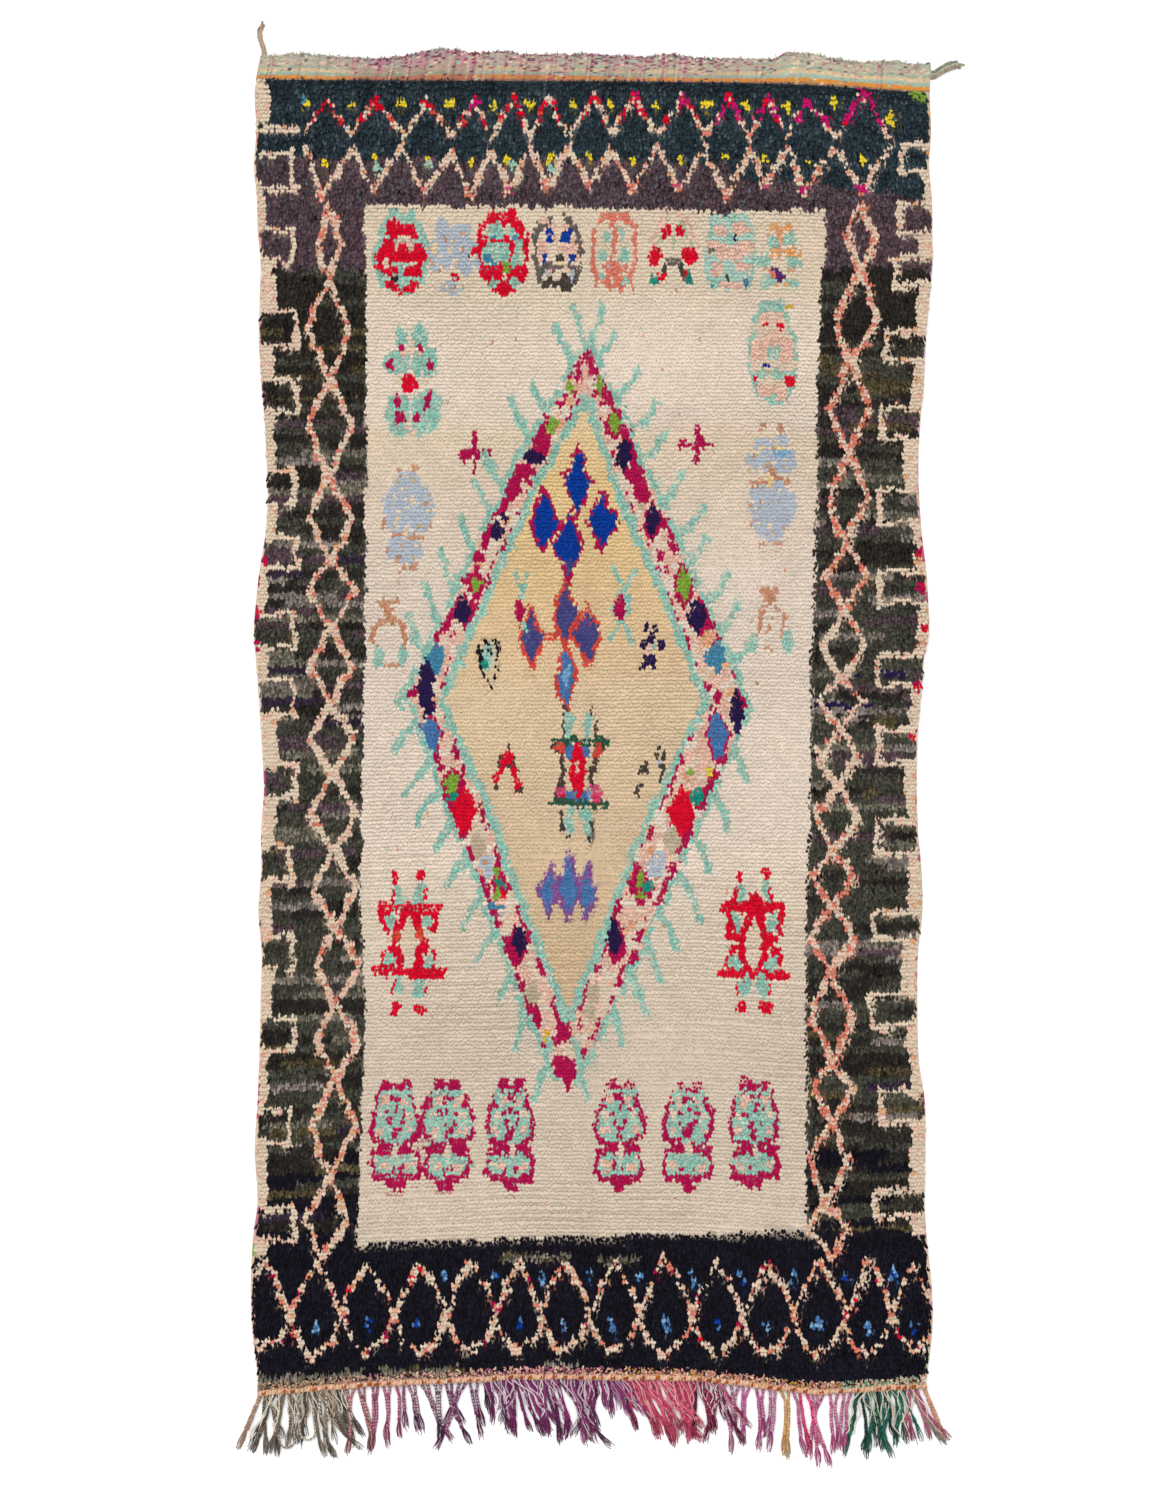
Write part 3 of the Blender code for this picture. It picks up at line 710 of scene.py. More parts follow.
topOvals = (
    {"at": (-430, 2540), "ring": ("mint", "mint", 62, 92, 1.0), "pairs": (
        ("crimson", (20, 54, 21, 22), (34, 2, 20, 29), (8, 6, 10, 20), (27, -36, 21, 14),
        (22, -74, 18, 10)), ("wool", (8, 34, 9, 7), (29, -18, 7, 9)), ("pink", (16, 20, 6, 9)),
        ("mint", (22, 88, 15, 9)),
    ), "alone": (
        ("oliveBlack", (-14, -58, 12, 5)), ("crimson", (-4, -86, 7, 8), (-50, -22, 12, 7)),
    )},
    {"at": (-313, 2543), "pairs": (
        ("lavender", (24, 58, 21, 20), (31, 5, 31, 34), (33, -24, 22, 22)), ("tan", (20, 36, 4, 8)),
    ), "alone": (
        ("lavender", (0, 10, 22, 44), (-2, -76, 28, 17)), ("wool", (0, 14, 6, 12), (2, -18, 6, 11)),
        ("crimson", (2, -50, 14, 10)), ("yellow", (-40, 10, 5, 10)), ("umber", (32, -10, 3, 8)),
    )},
    {"at": (-200, 2545), "ring": ("crimson", "crimson", 57, 90, 1.0), "pairs": (
        ("crimson", (17, 84, 15, 10)), ("mint", (18, 45, 17, 22), (27, -4, 23, 32)),
        ("crimson", (26, -52, 24, 13)), ("mint", (22, -72, 13, 11)), ("crimson", (14, -86, 15, 7)),
        ("steel", (21, 34, 7, 5)),
    ), "alone": (
        ("mint", (0, 0, 16, 26)), ("crimson", (17, 16, 16, -24, 5), (-26, 27, 2, 25, 4)),
        ("wool", (4, 60, 7, 9), (46, 40, 6, 10), (-40, 46, 6, 9), (2, -58, 6, 12)),
        ("green", (4, -30, 11, 16)), ("steel", (-32, -12, 8, 7), (-20, -26, 7, 7)),
        ("yellow", (38, -8, 4, 13)), ("crimson", (-62, 2, 8, 8)),
    )},
    {"at": (-79, 2543), "pairs": (
        ("pink", (22, 62, 17, 14), (44, 20, 14, 16), (44, -6, 14, 20), (30, 6, 14, 20)),
        ("greyBrown", (15, 84, 34, 62, 6), (36, 60, 50, 30, 6), (52, 22, 54, -14, 5),
        (48, -30, 40, -68, 5), (22, -34, 20, 9)), ("umber", (18, -68, 17, 15)),
        ("royal", (19, 38, 11, 15), (33, -10, 8, 13)), ("lavender", (27, -46, 6, 12)),
        ("pink", (17, -42, 10, 8)),
    ), "alone": (
        ("umber", (4, -10, 9, 9)), ("pink", (0, 34, 6, 20), (8, 12, 12, 10), (-26, 76, 9, 8)),
        ("yellow", (6, -26, 10, 6)),
    )},
    {"at": (48, 2547), "ring": ("salmon", "wool", 54, 84, 0.9), "pairs": (
        ("salmon", (16, 78, 14, 8)), ("mint", (16, 36, 8, 17), (24, -8, 10, 17)),
        ("salmon", (38, -54, 42, -82, 6), (10, -56, 12, -84, 7)), ("mint", (26, -66, 11, 7)),
    ), "alone": (
        ("salmon", (0, 66, 2, -12, 5), (0, -38, 28, 17)), ("lavender", (-8, -42, 6, 9)),
        ("navy", (-8, -44, 3, 6)),
    )},
    {"at": (179, 2556), "pairs": (
        ("pink", (14, 84, 32, 60, 5), (32, 60, 52, 16, 5)), ("paleGreen", (20, 66, 26, 30, 4),
        (30, 20, 46, -14, 5)), ("pink", (48, 4, 44, -30, 4)), ("crimson", (17, 38, 10, 17),
        (37, -16, 13, 17)), ("greyBrown", (8, -32, 10, 8)), ("umber", (16, -38, 22, -62, 4)),
        ("crimson", (25, -68, 8, 12)), ("teal", (38, -70, 10, 13)),
    ), "alone": (
        ("paleGreen", (0, 10, 4, 18)),
    )},
    {"at": (308, 2543), "ring": ("mint", "paleMint", 58, 84, 0.5), "pairs": (
        ("paleMint", (33, 72, 17, 16)), ("pink", (20, 50, 20, 17), (39, 14, 15, 17), (19, 4, 18, 18),
        (30, -32, 17, 12), (14, -70, 15, 10)), ("mint", (4, 26, 7, 14), (38, -62, 12, 16)),
    ), "alone": (
        ("navy", (10, 32, 4, 6)), ("greyOlive", (-42, 8, 9, 5)), ("steel", (38, -62, 5, 11)),
        ("umber", (0, -50, 3, 8)), ("steel", (-40, -76, 5, 7)),
    )},
    {"at": (420, 2543), "pairs": (
        ("apricot", (15, 56, 13, 9), (26, 44, 28, 4, 5)), ("mint", (19, 28, 15, 16)),
        ("apricot", (16, 2, 22, 7)), ("mint", (36, -16, 18, 15)), ("peach", (30, -38, 8, 8)),
        ("mint", (28, -66, 18, 12)), ("apricot", (12, -72, 7, 5)),
    ), "alone": (
        ("peach", (0, 20, 5, 38)), ("apricot", (46, 4, 8, 8)), ("purple", (-6, -44, 16, 17)),
        ("salmon", (-18, -50, 7, 8)),
    )},
)
lowOvalTop = {"ring": ("magenta", "mint", 56, 73, 0.9), "taper": 0.22, "pairs": (
    ("magenta", (18, 72, 13, 11)), ("pink", (20, 34, 10, 12)), ("wool", (32, 2, 8, 10)),
    ("pink", (33, -34, 9, 10)), ("magenta", (6, 40, 5, 9), (19, 8, 6, 7), (12, -14, 6, 8),
    (40, 26, 5, 7)), ("mint", (24, 50, 12, 8)),
), "alone": (
    ("magenta", (0, -38, 9, 15), (0, 14, 5, 8)),
)}
lowOvalFoot = {"ring": ("magenta", "mint", 59, 34, 0.88), "pairs": (
    ("magenta", (10, 32, 48, 32, 6)), ("pink", (28, -2, 11, 9)), ("wool", (42, 4, 5, 7)),
    ("magenta", (10, -8, 5, 8)), ("mint", (26, 14, 16, 8)), ("magenta", (0, -33, 44, -27, 7.5)),
), "alone": (
    ("wool", (0, 32, 6, 16)), ("magenta", (0, -48, 17, 9)),
)}
lowOvals = [
    {**shape, "at": (x, y), "wide": wide}
    for x, wide in ((-443, 1.02), (-327, 0.9), (-186, 0.95), (59, 0.97), (213, 1.02), (363, 1.08))
    for y, shape in ((604, lowOvalTop), (494, lowOvalFoot))
]
sideFigures = (
    {"at": (-410, 2252), "pairs": (
        ("mint", (22, 104, 17, 24), (40, 46, 21, 32), (12, 45, 12, 30), (36, -62, 24, 40),
        (14, -60, 14, 36), (18, -108, 22, 14)), ("pink", (20, 66, 8, 8)), ("magenta", (19, 78, 8, 10),
        (43, 38, 11, 14), (32, -40, 6, 18), (20, -82, 11, 10)), ("pink", (10, -108, 11, 5)),
    ), "alone": (
        ("wool", (-2, 76, 10, 16), (2, 6, 46, 16)), ("crimson", (2, -2, 16, 21)),
    )},
    {"at": (-418, 1940), "pairs": (
        ("tan", (18, 117, 8, 8)), ("lavender", (38, 30, 22, 46)), ("tan", (24, -33, 17, 5),
        (14, -106, 10, 7)), ("yellow", (18, 44, 5, 11)), ("tan", (54, -8, 4, 9)),
    ), "alone": (
        ("lavender", (0, 80, 32, 28), (0, 22, 56, 52), (-5, -68, 46, 36)), ("yellow", (-26, 0, 9, 6)),
        ("wool", (14, 44, 4, 14)), ("yellow", (0, -32, 8, 16)), ("tan", (-8, -60, 4, 5)),
    )},
    {"at": (404, 2318), "ring": ("mint", "wool", 56, 112, 0.9), "pairs": (
        ("mint", (16, 108, 15, 11)), ("pink", (18, 74, 14, 16), (34, 6, 17, 26), (10, 26, 14, 30)),
        ("mint", (24, -48, 26, 11)), ("pink", (14, -84, 22, 15)), ("mint", (8, 0, 9, 18)),
        ("crimson", (16, 62, 9, 5), (36, -62, 12, 7)),
    ), "alone": (
        ("royal", (-6, -28, 11, 6)), ("yellowDeep", (38, 102, 13, 8)), ("mint", (0, -108, 20, 10)),
    )},
    {"at": (398, 2030), "pairs": (
        ("tan", (17, 120, 8, 10)), ("lavender", (20, 84, 20, 20), (32, 44, 26, 28)),
        ("yellow", (14, 76, 10, 6)), ("tan", (17, -138, 8, 7)),
    ), "alone": (
        ("lavender", (0, 44, 26, 30)), ("skyBlue", (24, 64, 19, 7)), ("lavender", (0, -60, 56, 58),
        (0, -112, 32, 20)), ("tan", (4, 26, 7, 10), (-40, -1, -10, -2, 5), (10, -2, 46, 3, 5)),
        ("yellow", (0, -2, 9, 15), (30, 36, 9, 6)), ("tan", (-46, -90, 7, 6)),
    )},
    {"at": (-457, 1674), "pairs": (
        ("tan", (12, 82, 13, 7), (0, 58, 9, 18), (8, 38, 32, 22, 5), (33, 22, 36, 2, 6),
        (36, 2, 26, -16, 4)), ("mint", (25, -38, 11, 24)),
    ), "alone": (
        ("tan", (-12, -57, 22, -57, 3)),
    )},
    {"at": (401, 1708), "pairs": (
        ("tan", (14, 74, 14, 9), (0, 58, 12, 13), (10, 36, 24, 22, 4), (25, 22, 28, -20, 6.5)),
        ("mint", (40, -40, 13, 24)),
    ), "alone": (
        ("tan", (0, 10, -4, -18, 3), (-28, -54, 4, -54, 3)),
    )},
    {"at": (-268, 2096), "alone": (
        ("magenta", (2, 42, 0, -38, 7), (-34, -2, 34, -2, 6), (-30, -4, 11, 9)),
    )},
    {"at": (234, 2110), "alone": (
        ("magenta", (-2, 44, 0, -36, 6), (-34, 2, 34, 2, 6), (-12, -12, 14, 24, 4)),
    )},
)
for figure in (*topOvals, *lowOvals, *sideFigures):
    paintFigure(figure)

# Hourglass figures between two bars, with horns above and legs below
hourglasses = (
    {"at": (-414, 998), "pairs": (
        ("crimson", (0, 74, 64, 74, 10), (0, -72, 74, -72, 10), (60, 70, 50, 26, 8)),
        ("mint", (42, 48, 13, 19), (40, 34, 30, 12, 6)), ("crimson", (8, 66, 30, 12, 9)),
        ("redOrange", (26, 14, 11, 14)), ("crimson", (34, -4, 14, -60, 9), (60, -26, 60, -70, 5)),
        ("mint", (42, -46, 14, 15)), ("crimson", (40, -20, 10, 10), (32, 144, 9, 13)),
        ("mint", (30, 122, 20, 96, 8), (16, 92, 17, 10)), ("crimson", (39, 104, 5, 16)),
        ("mint", (20, -104, 13, 26)), ("crimson", (34, -106, 4, 14), (24, -154, 13, 11)),
    ), "alone": (
        ("wool", (0, 6, 13, 44)),
    )},
    {"at": (362, 998), "pairs": (
        ("crimson", (0, 74, 68, 74, 10), (0, -76, 72, -76, 10.5)), ("mint", (44, 48, 15, 20)),
        ("crimson", (62, 64, 54, 18, 6)), ("mint", (38, 32, 26, 8, 6)), ("crimson", (10, 62, 28, 10, 8),
        (44, 6, 14, 12), (28, 0, 10, 26)), ("mint", (42, -50, 17, 17)), ("crimson", (46, -22, 12, 12),
        (26, -26, 12, -62, 7), (62, -46, 6, 12), (29, 146, 9, 17)), ("mint", (27, 112, 13, 24)),
        ("crimson", (40, 100, 6, 22)), ("mint", (21, -104, 15, 26)), ("crimson", (36, -112, 4, 12),
        (28, -150, 16, 13)),
    ), "alone": (
        ("crimson", (0, 94, 10, 12)), ("wool", (0, 0, 10, 40)),
    )},
    {"at": (-33, 1377), "pairs": (
        ("umber", (54, 58, 32, 16, 6), (32, 16, 34, -24, 6), (34, -24, 50, -60, 6)),
        ("redOrange", (41, 51, 12, 13)), ("rose", (40, -48, 13, 16)), ("crimson", (38, -56, 8, 8)),
        ("blue", (16, 48, 11, 19), (17, -52, 12, 16)), ("umber", (30, 134, 5, 18), (36, 100, 5, 20)),
        ("mint", (20, 88, 24, 126, 10)), ("umber", (34, -110, 4, 26), (24, -144, 7, 9)),
        ("mint", (17, -88, 22, -128, 10.5)), ("deepGreen", (0, 67, 64, 67, 6.5), (0, -72, 64, -72, 8)),
        ("crimson", (0, 48, 12, 0, 9), (12, 0, 0, -48, 9)),
    ), "alone": (
        ("crimson", (0, 0, 15, 36)), ("pink", (-2, 6, 5, 16)),
    )},
)
print("figures charted")

# The medallion: an outer and an inner mint line, and a band of gems, patches and dashes between them
medallion = {  # along, across
    "outerLeft": ((2327, -18), (2079, -169), (1764, -313), (1553, -414), (1224, -294), (684, -85)),
    "outerRight": ((2327, -3), (2214, 50), (1854, 206), (1530, 349), (1224, 219), (673, -42)),
    "innerLeft": ((2203, -27), (2034, -121), (1539, -341), (1314, -243), (830, -64)),
    "innerRight": ((2203, -7), (2034, 44), (1539, 256), (1314, 142), (830, -52)),
    "outerHalf": 7.0,
    "innerHalf": 9.5,
    "barbHalf": 7.2,
    # places of the barbs along the line, and how far they lean and reach
    "barbs": {
        "upperLeft": ((2293, 2187, 2124, 2012, 1955, 1877, 1786, 1708, 1645), 34, 76),
        "upperRight": ((2308, 2214, 2135, 2068, 1978, 1899, 1845, 1753, 1692, 1625), 46, 64),
        "lowerLeft": ((1600, 1494, 1404, 1337, 1269, 1190, 1100, 1022, 920, 842), 44, -70),
        "lowerRight": ((1438, 1337, 1235, 1157, 1067, 999, 932, 853), 38, -92),
    },
}


def lineAt(key, along):
    return tableAt(medallion[key][::-1], along)


def between(left, right):
    # The ends between two of the medallion's lines
    top, foot = medallion[left][0][0], medallion[left][-1][0]
    inside = (acrossAt > lineAt(left, alongAt)) & (acrossAt < lineAt(right, alongAt))
    return inside & (alongAt > foot) & (alongAt < top)


for quarter, (places, lean, reach) in medallion["barbs"].items():
    key, way = ("outerLeft", -1) if quarter.endswith("Left") else ("outerRight", 1)
    for y in places:
        x = float(lineAt(key, y))
        size = draw.uniform(0.78, 1.18)
        # those near the foot hang straighter
        across = way * (6 + lean * size * draw.uniform(0.8, 1.2) * np.clip((y - 700) / 300, 0.3, 1))
        bend = (x + across * 0.55, y + reach * size * draw.uniform(0.38, 0.5))
        tip = (x + across, y + reach * size)
        paint(pen(x, y, *bend, medallion["barbHalf"] + 1.5, 10), "mint")
        paint(pen(*bend, *tip, medallion["barbHalf"], 8), "mint")
        paint(blob(*tip, 9, 12), "mint")
inOuter = between("outerLeft", "outerRight")
inInner = between("innerLeft", "innerRight")
paintMixed(inOuter, {"pink": 7, "cream": 3, "wool": 2, "peach": 0.5}, 2, 3)
nearOuter, nearInner = (
    np.minimum(*(np.abs(acrossAt - lineAt(line + side, alongAt)) for side in ("Left", "Right")))
    for line in ("outer", "inner")
)
band = inOuter & ~inInner
# magenta dashes along the lines, closer together above the middle
paint(band & (runs(2, 3) < 0.52) & ((nearInner < 20) | (nearOuter < 19)) & (alongAt < 1420), "magenta")
paint(band & (runs(3, 4) < 0.62) & (nearOuter < 24) & (alongAt > 1620), "magenta")
paint(band & (runs(2, 2) < 0.30) & (nearInner < 18) & (alongAt > 1420), "magenta")
paint(inInner, "yellow")
# yarn: across, along, half width, half height. Later yarns lie over earlier ones
gems = {
    "pink": ((-18, 2248, 14, 40),),
    "lavender": ((-236, 1166, 19, 26), (144, 1166, 20, 30)),
    "magenta": (
        (-7, 2318, 8, 22), (-32, 2288, 9, 14), (-45, 2264, 19, 11), (-76, 2204, 17, 7),
        (-115, 2117, 18, 22), (-151, 2048, 21, 17), (-180, 2012, 18, 22), (-196, 1986, 11, 9),
        (-232, 1921, 9, 8), (-243, 1850, 7, 9), (-232, 1818, 7, 9), (-261, 1832, 6, 8),
        (-262, 1798, 17, 28), (-286, 1742, 21, 33), (-328, 1714, 9, 18), (-344, 1674, 7, 9),
        (-310, 1692, 7, 9), (-400, 1557, 12, 12), (-400, 1476, 9, 11), (-364, 1456, 22, 42),
        (-310, 1422, 7, 20), (-315, 1345, 24, 42), (-210, 1128, 17, 34), (-173, 986, 20, 40),
        (-81, 774, 11, 12), (20, 2275, 14, 13), (20, 2244, 14, 24), (38, 2207, 20, 7),
        (50, 2158, 21, 31), (79, 2131, 16, 31), (90, 2045, 20, 22), (108, 2007, 16, 26),
        (133, 1940, 18, 42), (178, 1883, 14, 13), (151, 1863, 8, 9), (162, 1832, 13, 7),
        (205, 1796, 25, 43), (240, 1722, 24, 42), (320, 1607, 6, 16), (279, 1550, 9, 18),
        (328, 1512, 20, 50), (279, 1460, 24, 50), (200, 1262, 24, 58), (176, 1161, 10, 15),
        (110, 1118, 21, 40), (52, 994, 24, 46),
    ),
    "green": (
        (-54, 2238, 9, 15), (-92, 2158, 12, 18), (-265, 1800, 9, 19), (-315, 1355, 15, 21),
        (-214, 1152, 9, 11), (-216, 1100, 8, 12), (17, 2246, 8, 20), (50, 2160, 13, 21),
        (205, 1798, 17, 31), (223, 1370, 9, 9), (108, 1136, 10, 18), (110, 1096, 11, 7),
    ),
    "teal": ((-310, 1319, 11, 12), (-209, 1130, 11, 12), (234, 1322, 18, 18), (128, 1121, 9, 9)),
    "crimson": ((-290, 1287, 24, 46), (-198, 1103, 13, 6), (198, 1288, 26, 50)),
    "tanGrey": (
        (-259, 1213, 14, 28), (-135, 880, 13, 26), (106, 1978, 7, 9), (178, 1220, 18, 30),
        (2, 880, 18, 22), (-7, 835, 14, 16),
    ),
    "steel": ((-351, 1640, 17, 34), (-220, 1073, 16, 9), (277, 1636, 20, 28)),
    "navy": (
        (-137, 2086, 18, 18), (-202, 1949, 10, 14), (-216, 1917, 13, 20), (-292, 1739, 17, 29),
        (-373, 1602, 14, 27), (-377, 1558, 17, 42), (-364, 1526, 10, 20), (-166, 1001, 16, 29),
        (68, 2090, 18, 30), (133, 1940, 14, 38), (234, 1726, 18, 38), (322, 1512, 15, 46),
        (46, 1004, 17, 36),
    ),
    "blue": ((-364, 1456, 18, 37), (280, 1462, 19, 45)),
    "yellowDeep": ((-104, 781, 7, 20),),
    "peach": ((257, 1674, 14, 18),),
    "yellowBright": ((261, 1381, 6, 9),),
    "wool": ((-52, 752, 20, 14),),
}
for yarn, places in gems.items():
    for x, y, halfWidth, halfHeight in places:
        cornered = lozenge(x, y, halfWidth * 1.25, halfHeight * 1.25)
        paint((blob(x, y, halfWidth, halfHeight) | cornered) & inOuter, yarn)
# line, how far outside it the mint is knotted
for key, away in (("outerLeft", -6), ("outerRight", 6), ("innerLeft", 0), ("innerRight", 0)):
    line = medallion[key]
    half, kept = (medallion["outerHalf"], 0.84) if away else (medallion["innerHalf"], 1)
    for (y0, x0), (y1, x1) in zip(line, line[1:]):
        paint(pen(x0 + away, y0, x1 + away, y1, half, half + 1) & (runs(2, 2) < kept), "mint")
paintFigure({"at": (-70, 684), "pairs": (
    ("mint", (30, 90, 38, 50, 7), (38, 56, 60, -40, 8)),
), "alone": (
    ("magenta", (9, 34, 26, 24), (10, 0, 15, 24)),
)})
paintFigure({"at": (-11, 2336), "pairs": (
    ("mint", (0, -8, 32, 86, 6), (34, 84, 8, 14)),
), "alone": (
    ("mint", (-6, -132, 22, 16)), ("magenta", (4, -24, 8, 20)),
)})
print("medallion charted")

# Diamonds stacked down the middle of the medallion
diamonds = (  # across, along, half width, half height, yarn, outline
    (-36, 2030, 30, 70, "royal", "magenta"), (-108, 1942, 30, 64, "royal", "magenta"),
    (20, 1944, 32, 62, "royal", "magenta"), (-54, 1888, 29, 76, "royal", "magenta"),
    (-63, 1737, 27, 68, "purpleBlue", "redOrange"), (-137, 1681, 26, 60, "purpleBlue", "redOrange"),
    (-13, 1688, 30, 62, "purpleBlue", "redOrange"), (-58, 1593, 21, 64, "blue", "redOrange"),
    (-97, 1116, 19, 52, "blue", "violet"), (-13, 1112, 23, 52, "blue", "violet"),
    (-56, 1123, 24, 66, "blue", "violet"),
)
paint(pen(-110, 1681, -36, 1681, 9, 8), "redOrange")
for x, y, halfWidth, halfHeight, yarn, outline in diamonds:
    rim = 0.75 if outline == "magenta" else 0.95
    paint(lozenge(x, y, halfWidth + 9, halfHeight + 18) & (runs(1, 2) < rim), outline)
    paint(lozenge(x, y, halfWidth, halfHeight), yarn)
paint(lozenge(-54, 1888, 29, 76) & (alongAt < 1852), "purpleBlue")
paint(lozenge(-58, 1593, 12, 34), "skyBlue")
# Small beetles and barbed signs inside the medallion
smallFigures = (
    {"at": (61, 1748), "alone": (
        ("mint", (4, 32, -16, 82, 5.5), (4, 32, 32, 82, 5.5), (2, -30, -26, -78, 5.5),
        (2, -30, 24, -78, 5.5), (0, 0, 23, 34)), ("magenta", (0, 0, 16, 27)),
    )},
    {"at": (-164, 1742), "alone": (
        ("mint", (4, 28, -14, 80, 5), (4, 28, 18, 80, 5), (6, -26, 12, -48, 4)),
        ("magenta", (0, 0, 12, 22)),
    )},
    {"at": (-232, 1629), "pairs": (
        ("blackNavy", (9, 47, 7, 7), (19, 30, 20, 6, 4), (19, -14, 12, -34, 4)),
    ), "alone": (
        ("mint", (2, 8, 12, 30)), ("teal", (-10, -4, 10, 9)), ("blackNavy", (2, 20, 4, 7),
        (0, -50, 6, 10)),
    )},
    {"at": (128, 1658), "pairs": (
        ("navy", (10, 40, 8, 8), (20, 4, 10, 12), (6, -24, 16, -44, 5)),
    ), "alone": (
        ("navy", (0, 20, 12, 14), (0, -26, 9, 8)), ("mint", (4, -6, 6, 9)), ("pink", (-7, -8, 5, 8)),
    )},
    {"at": (-191, 1381), "pairs": (
        ("crimson", (0, 40, 24, -32, 7)), ("umber", (28, -40, 8, 7), (14, 30, 22, 4, 3)),
    ), "alone": (
        ("umber", (0, 54, 5, 7), (0, 8, 7, 8)),
    )},
    {"at": (128, 1381), "alone": (
        ("umber", (18, 48, 6, 6), (10, 34, 14, 18, 4), (26, 34, 28, 22, 4), (12, 4, 26, -4, 4),
        (28, 8, 20, -28, 4), (-10, 16, -20, -6, 5), (-24, -36, -30, -52, 6)),
        ("lavender", (16, 16, 7, 9)),
    )},
)
for figure in (*hourglasses, *smallFigures):
    paintFigure(figure)
print("field charted")

paintMixed(isYarn("lavender") & (runs(1, 2) < 0.15), {"cream": 4, "tan": 1, "tanGrey": 2}, 1, 2)

# Stray ends of other yarn
strays = {"count": 60, "yarns": ("tan", "peach", "pink", "tanGrey")}
for _ in range(strays["count"]):
    row, column = draw.integers(40, 300), draw.integers(45, 200)
    if chart[row, column] == yarnNames.index("cream"):
        chart[row, column] = yarnNames.index(draw.choice(strays["yarns"]))

# Colour of every end: the yarn's own, its lot, the row and the knot, with painted shade in the lines
# between rows and in the crease, and painted highlights on the dark wool
shading = {
    "mintFades": (0.12, 0.22),  # towards cream: how far, and how unevenly
    "rowSpread": 0.015,
    "grain": {"dark": 0.27, "dyed": 0.09, "cream": 0.03},  # from one end to the next
    "broad": 0.02,
    "streaks": 0.30,  # in the dark wool
    # painted shade on every other row, in the lines between rows
    "rowLine": 0.05,
    "rowShadowWarmth": (0.0, 0.02, 0.06),  # the painted shade between rows of cream yarn is warmer
    "creaseAt": -8,  # across, of the crease down the middle
    "creaseWidth": 28,
    # painted shade in the crease
    "crease": 0.08,
    "darkTone": 0.92,
    "paleTone": 0.873,
    # painted highlights: bluish grey flecks on the lumps of dark wool in the top border
    "highlightShare": 0.10,
    "highlightColour": "#5E6A72",
    "highlightStrength": 0.40,
    "highlightsAbove": 2650,
}
endColours = yarnColours[chart]
faded = np.clip(draw.normal(*shading["mintFades"], (rows, columns, 1)), 0, 0.7) * isYarn("mint")[..., None]
endColours = mix(endColours, np.array(linearColour(yarns["cream"])), faded)
for name in ("cream", "yellow"):
    keys = [row[0] for row in field[name]]
    lots = np.array([linearColour(row[1]) for row in field[name]])
    banded = [np.interp(alongAt + softNoise(4, 50, 12), keys, lots[:, k]) for k in range(3)]
    mask = isYarn(name)
    endColours[mask] = np.stack(banded, axis=-1)[mask]
isDark = isYarn(*darkNames)
isCream = isYarn(*creamNames)
yarnKind = np.where(isDark, 1, np.where(isCream, 0, 2))
# the lines between rows: every other row of ends lies lower and is given painted shade
lineHere = np.clip(tableAt(field["rowLines"], alongAt) * (0.55 + softNoise(1, 16, 0.8)), 0, 1.3)
rowLine = (rowNumbers % 2) * lineHere
# the crease down the middle: the pile lies lower there and is given painted shade
crease = np.exp(-((acrossAt - shading["creaseAt"]) / shading["creaseWidth"]) ** 2)
crease = crease * np.clip(0.5 + softNoise(14, 1, 0.8), 0, 1.4)
streaks = np.where(isDark, (runs(2, 16) - 0.5) * shading["streaks"], 0.0)
grain = np.where(inField & ~isCream, shading["grain"]["dyed"], shading["grain"]["cream"])
grain = np.where(isDark, shading["grain"]["dark"], grain)
shade = 1 + draw.normal(0, shading["rowSpread"], (rows, 1)) + draw.normal(0, 1, (rows, columns)) * grain
shade = shade + softNoise(6, 10, shading["broad"])
# painted shade in the lines between rows and along the crease
shade = shade * (1 - shading["rowLine"] * rowLine) * (1 - shading["crease"] * crease) * (1 + streaks)
shade = shade * np.where(isDark, shading["darkTone"], shading["paleTone"])
# the painted shade between rows of cream yarn is tinted warmer
warmRowShadows = 1 - (np.clip(rowLine, 0, 1) * isCream)[..., None] * shading["rowShadowWarmth"]
endColours = np.clip(endColours * shade[..., None] * warmRowShadows, 0.003, 1.0)
# painted highlights: bluish grey flecks on the dark wool near the top
isHighlight = isDark & (draw.random((rows, columns)) < shading["highlightShare"])
isHighlight &= alongAt > shading["highlightsAbove"]
highlightColour = np.array(linearColour(shading["highlightColour"]))
endColours[isHighlight] = mix(endColours[isHighlight], highlightColour, shading["highlightStrength"])


